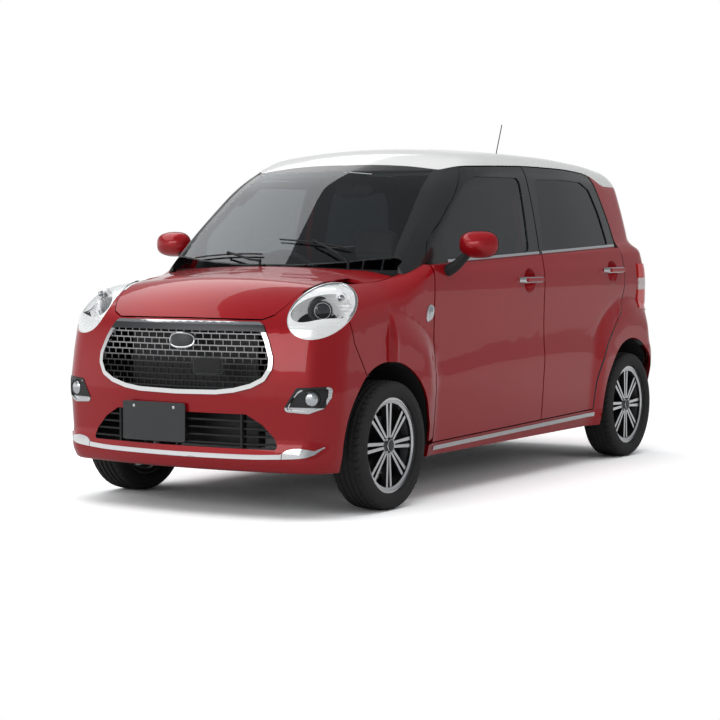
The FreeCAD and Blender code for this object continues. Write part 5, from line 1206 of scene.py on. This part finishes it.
class CAR_OT_handles(bpy.types.Operator):
    """Covers the four door handles with bright grips and adds the key lock"""
    bl_idname = "car.handles"
    bl_label = "Door handles"

    def execute(self, context):
        for end, (y, z) in HANDLES.items():
            skin = skin_of(end + "_door_left")
            paired(((end + "_handle_", self.grip(skin, y, z), "bright", end + "_door_{}", "bright"),))
            if end == "front":
                lock = turned(LOCK, 24, *side_hit(skin, y + LOCK_PLACE, z))
                paired((("lock_", lock, "bright", "front_door_{}", "bright"),))
        return {"FINISHED"}

    def grip(self, skin, y, z):
        """A bar that rises from the door at each end and is slimmer there."""
        ends = [side_hit(skin, y + s * HANDLE_FEET, z)[0] for s in (-1, 1)]
        rise_over, slim_over, slim = 0.030, 0.022, 0.70
        path, shares = [], []
        for k in range(HANDLE_STEPS + 1):
            t = k / HANDLE_STEPS
            base = ends[0].lerp(ends[1], t)
            base.y = y + (t - 0.5) * HANDLE_LENGTH
            edge = min(t, 1 - t) * HANDLE_LENGTH
            rise = min(edge / rise_over, 1.0)
            base.x += HANDLE_RISE * rise * rise * (3 - 2 * rise) - HANDLE_SUNK
            path.append(base)
            shares.append(slim + (1 - slim) * min(edge / slim_over, 1.0))
        return swept(path, [ACROSS] * len(path), oval_section(0.0155, 0.0128, 16), shares)


# Ends of the belt mouldings along the car, their height over the belt line and their section
BELT_ENDS = (("front", -0.585, 0.308), ("rear", 0.336, 1.222))
BELT_STEPS = 28
BELT_LIFT = 0.011
BELT_PROUD = 0.0015
BELT_SECTION = ((-0.0085, -0.004), (-0.0085, 0.001), (-0.0060, 0.0042), (0.0, 0.0055), (0.0060, 0.0042),
                (0.0085, 0.001), (0.0085, -0.004))
# Side marker: place as (y, z) and half widths
MARKER_PLACE = (-0.792, 0.828)
MARKER_HALF = (0.029, 0.036)


class CAR_OT_mouldings(bpy.types.Operator):
    """Lays the bright belt mouldings and the side markers"""
    bl_idname = "car.mouldings"
    bl_label = "Mouldings"

    def execute(self, context):
        leaning = Vector((1.0, 0.0, 0.25)).normalized()
        for end, y0, y1 in BELT_ENDS:
            skin = skin_of(end + "_door_left")
            path = []
            for k in range(BELT_STEPS + 1):
                y = y0 + (y1 - y0) * k / BELT_STEPS
                z = trim().belt_height + trim().belt_rise * y + BELT_LIFT
                path.append(side_hit(skin, y, z)[0] + ACROSS * BELT_PROUD)
            strip = swept(path, [leaning] * len(path), BELT_SECTION)
            paired(((end + "_belt_moulding_", strip, "bright", end + "_door_{}", "bright"),))
        seat, normal = side_hit(skin_of("front_fenders"), *MARKER_PLACE)
        along = Vector((0, 1, 0)) - normal * normal.y
        along.normalize()
        up = normal.cross(along) * (1 if normal.cross(along).z > 0 else -1)

        def marker_point(a, b, h, sunk=0.002):
            return seat + along * a + up * b + normal * (h - sunk)

        lean, taper, inner = 0.25, 0.22, 0.66
        shape = [(a + b * lean, b * (1 - taper * a / MARKER_HALF[0]))
                 for a, b in super_oval(*MARKER_HALF, 2.8)]
        frame = lofted_plate(shape, 0.0065, 0.002, marker_point)
        lens = lofted_plate([(a * inner, b * inner) for a, b in shape], 0.0090, 0.0022, marker_point)
        paired((("side_marker_", frame, "bright", "root", "bright"),
                ("side_marker_lens_", lens, "mirror glass", "root", "lamp_silver")))
        return {"FINISHED"}


# Door mirror: the middle of its cap, half widths of cap, glass and seam, and the ends and knee of its foot
MIRROR_MIDDLE = Vector((0.8445, -0.592, 1.128))
MIRROR_HALF = (0.0938, 0.0585)
MIRROR_PANE = (0.0795, 0.0495)
MIRROR_SEAM = (0.0945, 0.0592)
MIRROR_DEPTH = 0.062
MIRROR_POWER = 2.7
MIRROR_FOOT = (Vector((0.704, -0.628, 1.012)), Vector((0.745, -0.624, 1.022)), Vector((0.800, -0.594, 1.100)))
# The lip round the mirror glass, as (share of the half widths, depth)
MIRROR_LIP = ((0.870, 0.0275), (0.850, 0.0270), (0.846, 0.0200))


class CAR_OT_mirrors(bpy.types.Operator):
    """Builds the door mirrors: cap, foot, glass and seam"""
    bl_idname = "car.mirrors"
    bl_label = "Door mirrors"

    def execute(self, context):
        def at(a, b, depth):
            return MIRROR_MIDDLE + Vector((a, depth, b))

        pane = lofted_plate(super_oval(*MIRROR_PANE, MIRROR_POWER), 0.0012, 0.0004,
                            lambda a, b, h: at(a, b, 0.0215 + h))
        low, knee, high = MIRROR_FOOT
        steps = 12
        shares = [k / steps for k in range(steps + 1)]
        path = [low.lerp(knee, t) * (1 - t) + knee.lerp(high, t) * t for t in shares]
        foot = swept(path, [-FORWARD] * len(path), oval_section(0.023, 0.030, 20),
                     [1.18 - 0.42 * t for t in shares])
        groove = [at(a, b, 0.006) for a, b in super_oval(*MIRROR_SEAM, MIRROR_POWER)]
        groove.append(groove[0])
        seam = swept(groove, [p - MIRROR_MIDDLE for p in groove], oval_section(0.0012, 0.0010, 6))
        door, node = "front_door_{}", "mirror_{}"
        paired((("mirror_cap_", self.cap(at), "red paint", door, "body_paint", node),
                ("mirror_foot_", foot, "grained black", door, "dark_plastic", node),
                ("mirror_glass_", pane, "mirror glass", door, "clear_glass"),
                ("mirror_seam_", seam, "grained black", door, "dark_plastic")))
        return {"FINISHED"}

    def cap(self, at):
        """Round shell from its tip in front to the lip round the glass."""
        outline = super_oval(*MIRROR_HALF, MIRROR_POWER)
        rings, end = 18, math.radians(114.8)
        rows = []
        for k in range(1, rings + 1):
            t = end * k / rings
            rows.append([at(a * math.sin(t), b * math.sin(t), -MIRROR_DEPTH * math.cos(t)) for a, b in outline])
        for inward, depth in MIRROR_LIP:
            rows.append([at(a * inward, b * inward, depth) for a, b in outline])
        count = len(outline)
        return [p for row in rows for p in row], grid_faces(len(rows), count, True) + [tuple(range(count))]


def shaped_pad(outline, half, pull, x_middle, rounds=3, steps=14):
    """Points and faces of a pad with a side outline of (y, z) points. Its ends round off over the pull."""
    least, slope = 0.2, 0.16
    loop = rounded([Vector((0.0, y, z)) for y, z in outline], rounds)
    middle = sum(loop, Vector()) / len(loop)
    points = []
    for k in range(steps + 1):
        x = half * math.cos(math.pi * k / steps)
        edge = max(0.0, abs(x) - (half - pull)) / pull
        scale = max(1 - pull * (1 - math.sqrt(max(0.0, 1 - edge * edge))) / slope, least)
        seat = middle + ACROSS * (x_middle + x)
        points += [seat + (p - middle) * scale for p in loop]
    count = len(loop)
    faces = grid_faces(steps + 1, count, True)
    return points, faces + [tuple(range(count)), tuple(range(len(points) - count, len(points)))]


def swollen(shown):
    """Fills a pad: remeshes it evenly, blows its cover up as cloth and keeps what that gives."""
    scene, sizes = bpy.context.scene, bpy.context.scene.car_seats
    bpy.context.view_layer.objects.active = shown
    even = shown.modifiers.new("even", "REMESH")
    even.mode, even.voxel_size = "VOXEL", sizes.voxel
    bpy.ops.object.modifier_apply(modifier=even.name)
    start = [v.co.copy() for v in shown.data.vertices]
    filled = shown.modifiers.new("filled", "CLOTH")
    filled.settings.quality = 4
    filled.settings.mass = 0.3
    filled.settings.use_pressure = True
    filled.settings.uniform_pressure_force = sizes.pressure
    filled.settings.effector_weights.gravity = 0.0
    for number in range(1, 21):
        scene.frame_set(number)
    ready = shown.evaluated_get(bpy.context.evaluated_depsgraph_get())
    ends = [v.co.copy() for v in ready.data.vertices]
    shown.modifiers.remove(filled)
    scene.frame_set(1)
    for v, a, b in zip(shown.data.vertices, start, ends):
        move = b - a
        v.co = a + move * min(1.0, sizes.swell / max(move.length, 1e-6))
    finer = shown.modifiers.new("finer", "SUBSURF")
    finer.levels = finer.render_levels = 1
    bpy.ops.object.modifier_apply(modifier=finer.name)


def sewn(shown, seams, deep=0.006, wide=0.007):
    """Draws a pad's cover in along its seams. Each seam gives a point's distance from it."""
    mesh = shown.data
    normals = [v.normal.copy() for v in mesh.vertices]
    for v, normal in zip(mesh.vertices, normals):
        near = min(abs(seam(v.co)) for seam in seams)
        v.co -= normal * (deep * math.exp(-(near / wide) ** 2))


def kept_in(shown, low, high):
    """Holds a pad inside its box."""
    for v in shown.data.vertices:
        v.co = Vector([min(max(c, a), b) for c, a, b in zip(v.co, low, high)])


# Side outlines of the pads, as (y, z)
CUSHION = ((-0.332, 0.445), (0.205, 0.445), (0.232, 0.500), (0.150, 0.533), (0.060, 0.528), (-0.200, 0.556),
           (-0.318, 0.553), (-0.358, 0.500))
BACK = ((0.170, 0.500), (0.232, 0.452), (0.300, 0.560), (0.452, 0.950), (0.430, 0.985), (0.388, 0.990),
        (0.345, 0.955), (0.225, 0.690), (0.160, 0.560))
REST = ((0.412, 1.045), (0.480, 1.045), (0.497, 1.120), (0.482, 1.200), (0.432, 1.200), (0.412, 1.120))
BENCH = ((0.475, 0.395), (0.625, 0.395), (0.915, 0.500), (0.985, 0.505), (0.930, 0.545), (0.700, 0.548),
         (0.505, 0.560), (0.470, 0.500))
BENCH_BACK = ((0.935, 0.515), (1.000, 0.505), (1.175, 0.985), (1.165, 1.015), (1.125, 1.020), (1.082, 0.990),
              (0.990, 0.760), (0.935, 0.580))
BENCH_REST = ((1.125, 1.065), (1.190, 1.065), (1.210, 1.140), (1.195, 1.222), (1.150, 1.222), (1.125, 1.140))
# How far a seat's middle lies from the car's, in front and on the bench
SEAT_SIDE, BENCH_SIDE = 0.325, 0.255
# Head rest posts: place of the seat, half the distance between them, then (y, z) of their feet and tops
POSTS = ((SEAT_SIDE, 0.060, (0.395, 0.960), (0.445, 1.075)),
         (BENCH_SIDE, 0.060, (1.135, 0.990), (1.165, 1.095)))


def level(z):
    """A seam at one height."""
    return lambda p: p.z - z


def lengthwise(middle, off):
    """A pair of seams along the car, one on each side of a middle."""
    return lambda p: abs(p.x - middle) - off


def bench_places(p):
    """The seams on both sides of each place on the bench."""
    return abs(abs(p.x) - BENCH_SIDE) - 0.150


def thigh(p):
    """The slanting seam across a cushion."""
    return p.y + 0.09 + 0.5 * (p.z - 0.55)


class CAR_OT_seats(bpy.types.Operator):
    """Pads the front seats and the bench with filled cloth and sews their channels"""
    bl_idname = "car.seats"
    bl_label = "Seats"

    def execute(self, context):
        bolster, halves = lengthwise(SEAT_SIDE, 0.145), lengthwise(0.0, 0.012)
        back_seams = (bolster, level(0.735), level(0.905))
        bench_seams = (halves, bench_places, level(0.88))
        pads = (("cushion", CUSHION, 0.218, 0.050, SEAT_SIDE, (bolster, thigh), "front_seats", 0.75),
                ("back", BACK, 0.215, 0.045, SEAT_SIDE, back_seams, "front_seats", 0.7),
                ("headrest", REST, 0.117, 0.030, SEAT_SIDE, (level(1.075),), "front_seats", 0.85),
                ("bench_cushion", BENCH, 0.496, 0.050, 0.0, (halves, bench_places), "seat_rear", 0.75),
                ("bench_back", BENCH_BACK, 0.496, 0.045, 0.0, bench_seams, "seat_rear", 0.7),
                ("bench_headrest", BENCH_REST, 0.117, 0.030, BENCH_SIDE, (level(1.095),), "seat_rear", 0.85))
        for name, outline, half, pull, x, seams, node, fill in pads:
            pair = x > 0
            shape = shaped_pad(outline, half, pull, x)
            shown = piece(name + "_left" if pair else name, shape, "seat cloth", angle=180.0)
            swollen(shown)
            sewn(shown, seams)
            kept_in(shown, *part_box(node))
            shown.data.shade_smooth()
            self.declare(shown, node, fill)
            if pair:
                mesh = shown.data.copy()
                for v in mesh.vertices:
                    v.co.x = -v.co.x
                mesh.flip_normals()
                twin = bpy.data.objects.new(name + "_right", mesh)
                context.scene.collection.objects.link(twin)
                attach(twin, "root")
                self.declare(twin, node, fill)
        self.frames()
        return {"FINISHED"}

    def declare(self, shown, node, fill):
        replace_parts(shown, node)

    def frames(self):
        """Posts, slides and side valances that the pads stand on."""
        posts, rails, valances = [], [], []
        for x, off, foot, top in POSTS:
            for seat in (-x, x):
                for s in (-off, off):
                    posts.append(rod((seat + s, *foot), (seat + s, *top), 0.0062, 0.0062, 4))
        for seat in (-SEAT_SIDE, SEAT_SIDE):
            for s in (-1, 1):
                rails.append(soft_box((0.036, 0.520, 0.026), (seat + s * 0.165, -0.085, 0.216), 0.005))
                rails.append(soft_box((0.022, 0.400, 0.190), (seat + s * 0.165, -0.075, 0.330), 0.008))
                valances.append(soft_box((0.020, 0.470, 0.085), (seat + s * 0.214, -0.045, 0.425), 0.009))
            rails.append(soft_box((0.340, 0.380, 0.040), (seat, -0.070, 0.418), 0.010))
        made = piece("headrest_posts", joined(*posts), "bright")
        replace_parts(made, "front_seats")
        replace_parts(made, "seat_rear")
        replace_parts(piece("seat_slides", joined(*rails), "steel"), "front_seats")
        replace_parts(piece("seat_valances", joined(*valances), "dashboard"), "front_seats")


# Dials as (x, z, radius); the hood over them is an arch round its own middle
DIALS = ((-0.385, 0.952, 0.040), (-0.275, 0.952, 0.040), (-0.330, 0.940, 0.030))
DIAL_AXIS = Vector((0, 0.94, 0.34))
HOOD_MIDDLE = Vector((-0.330, -0.470, 0.950))
HOOD_HALF = (0.125, 0.062)
HOOD_SECTION = ((-0.050, -0.004), (-0.050, 0.004), (0.055, 0.006), (0.060, 0.0), (0.055, -0.005))
# Air vents as (x, z), and their rings and the heater's knobs as (radius, height)
VENTS = ((-0.505, 0.880), (0.505, 0.880), (-0.155, 0.885), (0.155, 0.885))
VENT_RING = ((0.038, -0.012), (0.040, 0.004), (0.037, 0.009), (0.032, 0.004), (0.030, -0.010))
VENT_RADIUS, SLAT_PITCH = 0.031, 0.011
KNOB = ((0.021, 0.0), (0.020, 0.012), (0.017, 0.017), (0.009, 0.018), (0.0003, 0.018))
LEVER = ((0.0065, 0.0), (0.0065, 0.070), (0.011, 0.076), (0.017, 0.092), (0.0185, 0.110), (0.015, 0.126),
         (0.0003, 0.131))
SCREEN_TILT, VISOR_TILT, PEDAL_TILT = math.radians(-14), math.radians(12), 0.5
INNER_MIRROR = Vector((0.0, -0.272, 1.385))


class CAR_OT_cabin(bpy.types.Operator):
    """Fits the dials, screen, vents, knobs, gear lever, pedals, inner mirror and sun visors"""
    bl_idname = "car.cabin"
    bl_label = "Cabin fittings"

    def execute(self, context):
        self.dials()
        for name, size, y, radius, surface in (
                ("screen_display", (0.210, 0.016, 0.118), -0.374, 0.006, "display"),
                ("screen_bezel", (0.236, 0.020, 0.140), -0.384, 0.009, "dashboard")):
            piece(name, soft_box(size, (0.0, y, 0.868), radius, SCREEN_TILT), surface)
        self.vents()
        piece("gear_lever", turned(LEVER, 24, (-0.090, -0.395, 0.700), (0, 0.92, 0.42)), "leather")
        piece("lower_panel", soft_box((0.300, 0.085, 0.190), (0.0, -0.425, 0.715), 0.030), "pale trim")
        pedals = [soft_box((0.075, 0.012, 0.055), (-0.345, -0.735, 0.345), 0.005, PEDAL_TILT),
                  soft_box((0.045, 0.012, 0.130), (-0.225, -0.740, 0.300), 0.005, PEDAL_TILT),
                  rod((-0.345, -0.745, 0.350), (-0.345, -0.745, 0.575), 0.007, 0.005, 5, 10, -FORWARD),
                  rod((-0.225, -0.748, 0.300), (-0.225, -0.748, 0.550), 0.006, 0.005, 5, 10, -FORWARD)]
        piece("pedals", joined(*pedals), "rubber")
        self.mirror()
        for side, s in SIDES[::-1]:
            visor = soft_box((0.360, 0.165, 0.016), (s * 0.300, -0.245, 1.470), 0.007, VISOR_TILT)
            piece("sun_visor_" + side, visor, "pale trim", slot="cloth")
        return {"FINISHED"}

    def dials(self):
        path, ups, steps = [], [], 16
        for k in range(steps + 1):
            a = math.pi * k / steps
            arm = Vector((HOOD_HALF[0] * math.cos(a), 0.0, HOOD_HALF[1] * math.sin(a)))
            path.append(HOOD_MIDDLE + arm)
            ups.append((arm + UP * 0.020).normalized())
        piece("dial_hood", swept(path, ups, HOOD_SECTION), "dashboard")
        rings, plates = [], []
        for x, z, r in DIALS:
            centre = (x, -0.462, z)
            ring = ((r, -0.004), (r + 0.003, 0.004), (r, 0.009), (r - 0.004, 0.006))
            rings.append(turned(ring, 36, centre, DIAL_AXIS))
            plate = ((r - 0.003, 0.003), (r * 0.5, 0.003), (0.0003, 0.003))
            plates.append(turned(plate, 36, centre, DIAL_AXIS))
        piece("dial_rings", joined(*rings), "bright")
        piece("dial_faces", joined(*plates), "display")

    def vents(self):
        vents, slats, knobs = [], [], []
        for x, z in VENTS:
            centre = Vector((x, -0.386, z))
            vents.append(turned(VENT_RING, 36, centre, (0, 1, 0.2)))
            for k in (-2, -1, 0, 1, 2):
                up = k * SLAT_PITCH
                wide = 2 * math.sqrt(VENT_RADIUS ** 2 - up ** 2)
                slats.append(soft_box((wide, 0.010, 0.0022), centre + UP * up, 0.0008, steps=1))
        for x in (-0.062, 0.0, 0.062):
            knobs.append(turned(KNOB, 28, (x, -0.384, 0.775), (0, 1, 0.2)))
        piece("vent_rings", joined(*vents), "bright")
        piece("vent_slats", joined(*slats), "dashboard")
        piece("heater_knobs", joined(*knobs), "bright", slot="dark_plastic")

    def mirror(self):
        seat = hit(skin_of("windscreen"), (0.0, 0.10, 1.395), (0.0, -1.0, 0.22))[0]
        piece("inner_mirror_arm", rod(seat, (0.0, -0.285, 1.395), 0.007, 0.007), "grained black")

        def at(a, b, depth):
            return INNER_MIRROR + Vector((a, depth, b))

        case = lofted_plate(super_oval(0.112, 0.033, 3.0), 0.016, 0.006, lambda a, b, h: at(a, b, -h))
        piece("inner_mirror_case", case, "grained black")
        pane = lofted_plate(super_oval(0.107, 0.0295, 3.0), 0.0012, 0.0002,
                            lambda a, b, h: at(a, b, h - 0.0002))
        piece("inner_mirror_glass", pane, "mirror glass", slot="clear_glass")


# Rear wiper: its turned hub as (radius, height), and the sections of its arm and its blade
HUB = ((0.021, -0.004), (0.021, 0.010), (0.018, 0.017), (0.010, 0.020), (0.0003, 0.0205))
ARM_SECTION = ((-0.010, -0.003), (-0.010, 0.003), (0.010, 0.003), (0.010, -0.003))
BLADE_SECTION = ((-0.005, -0.003), (-0.006, 0.004), (0.0, 0.007), (0.006, 0.004), (0.005, -0.003))
# Middle of a rear reflector as (x, z)
REFLECTOR_PLACE = (0.545, 0.372)


class CAR_OT_tail(bpy.types.Operator):
    """Adds the rear wiper, the high brake lamp, the grip bar and the rear reflectors"""
    bl_idname = "car.tail"
    bl_label = "Tail fittings"

    def execute(self, context):
        gate, bumper = skin_of("tailgate", "tailgate_glass"), skin_of("rear_bumper")

        def on(skin, x, z, lift):
            point, normal = hit(skin, (x, 2.5, z), (0, -1, 0))
            return point + normal * lift, normal

        def strip(start, run, lift, steps, section, thin):
            """A section laid over the gate from its start (x, z), over a run (x, z), slimmer at the end."""
            path, ups = [], []
            for k in range(steps + 1):
                point, normal = on(gate, start[0] + run[0] * k / steps, start[1] + run[1] * k / steps, lift)
                path.append(point)
                ups.append(normal)
            return swept(path, ups, section, [1.0 - thin * k / steps for k in range(steps + 1)])

        pivot, normal = on(gate, 0.0, 1.118, 0.0)
        arm = strip((0.015, 1.122), (-0.275, 0.040), 0.012, 14, ARM_SECTION, 0.5)
        blade = strip((-0.095, 1.150), (-0.275, 0.028), 0.0042, 20, BLADE_SECTION, 0.0)
        piece("rear_wiper", joined(turned(HUB, 28, pivot, normal), arm, blade), "grained black", "tailgate")
        lamp = lofted_plate(super_oval(0.125, 0.011, 5.0), 0.007, 0.002,
                            lambda a, b, h: on(gate, a, 1.482 + b, h - 0.001)[0])
        piece("high_lamp", lamp, "tail red", "tailgate")
        bar = lofted_plate(super_oval(0.215, 0.016, 6.0), 0.010, 0.003,
                           lambda a, b, h: on(gate, a, 0.845 + b, h - 0.001)[0])
        piece("gate_grip", bar, "bright", "tailgate")
        for side, s in SIDES:
            x, z = REFLECTOR_PLACE
            reflector = lofted_plate(super_oval(0.062, 0.017, 3.5), 0.005, 0.001,
                                     lambda a, b, h: on(bumper, s * (x + a), z + b, h - 0.001)[0])
            piece("reflector_" + side, reflector, "tail red")
        return {"FINISHED"}


# Middle of the battery's tray and of the bottle's foot
SHELF = Vector((-0.345, -1.130, 0.640))
BOTTLE_FOOT = Vector((0.415, -1.075, 0.640))
POST = ((0.009, 0.0), (0.009, 0.014), (0.007, 0.017), (0.0003, 0.017))
BOTTLE_CAP = ((0.012, -0.004), (0.012, 0.010), (0.024, 0.011), (0.024, 0.028), (0.021, 0.031),
              (0.0003, 0.031))
RIB_PITCH = 0.032


class CAR_OT_engine_bay(bpy.types.Operator):
    """Dresses the engine bay: a ribbed cover, the battery on its tray and a bottle"""
    bl_idname = "car.engine_bay"
    bl_label = "Engine bay"

    def execute(self, context):
        lo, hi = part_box("engine")
        top = Vector((-0.02, (lo.y + hi.y) / 2, hi.z))
        cover = lofted_plate(super_oval(0.185, 0.110, 5.0), 0.030, 0.008,
                             lambda a, b, h: top + Vector((a, b, h - 0.034)))
        piece("engine_cover", cover, "grained black")
        ribs = [soft_box((0.250, 0.008, 0.010), top + Vector((0, k * RIB_PITCH, -0.001)), 0.003)
                for k in (-2, -1, 0, 1, 2)]
        piece("engine_cover_ribs", joined(*ribs), "grained black")
        piece("battery_tray", soft_box((0.190, 0.200, 0.012), SHELF, 0.004), "steel")
        piece("battery_case", soft_box((0.125, 0.190, 0.150), SHELF + UP * 0.081, 0.005), "grained black")
        piece("battery_lid", soft_box((0.129, 0.194, 0.022), SHELF + UP * 0.160, 0.005), "dashboard")
        posts = [turned(POST, 16, SHELF + Vector((0.040, k * 0.070, 0.170)), UP) for k in (-1, 1)]
        piece("battery_posts", joined(*posts), "bright")
        piece("bottle", soft_box((0.085, 0.120, 0.120), BOTTLE_FOOT + UP * 0.060, 0.018), "pale trim")
        neck = BOTTLE_FOOT + Vector((0.0, -0.020, 0.118))
        piece("bottle_cap", turned(BOTTLE_CAP, 28, neck, UP), "grained black")
        return {"FINISHED"}


OPERATORS = (CAR_OT_stage, CAR_OT_finishes, CAR_OT_tyres, CAR_OT_wheels, CAR_OT_headlamps, CAR_OT_fog_lamps,
             CAR_OT_nose, CAR_OT_plates, CAR_OT_handles, CAR_OT_mouldings, CAR_OT_mirrors, CAR_OT_seats,
             CAR_OT_cabin, CAR_OT_tail, CAR_OT_engine_bay)
GROUPS = {"car_colours": CarColours, "car_trim": CarTrim, "car_seats": SeatSizes, "car_stage": StageSizes}


class CAR_PT_panel(bpy.types.Panel):
    """Lists the car's pieces"""
    bl_idname = "CAR_PT_panel"
    bl_label = "Small Car"
    bl_space_type = "VIEW_3D"
    bl_region_type = "UI"
    bl_category = "Small Car"

    def draw(self, context):
        for each in OPERATORS:
            self.layout.operator(each.bl_idname)
        for name in GROUPS:
            group = getattr(context.scene, name)
            for key in group.bl_rna.properties.keys():
                if key not in ("rna_type", "name"):
                    self.layout.prop(group, key)


CLASSES = (*GROUPS.values(), *OPERATORS, CAR_PT_panel)


def register():
    for each in CLASSES:
        bpy.utils.register_class(each)
    for name, group in GROUPS.items():
        setattr(bpy.types.Scene, name, PointerProperty(type=group))


def unregister():
    for name in GROUPS:
        delattr(bpy.types.Scene, name)
    for each in reversed(CLASSES):
        bpy.utils.unregister_class(each)


def main():
    register()
    for each in OPERATORS:
        getattr(bpy.ops.car, each.bl_idname.split(".")[1])()


if __name__ == "__main__":
    main()
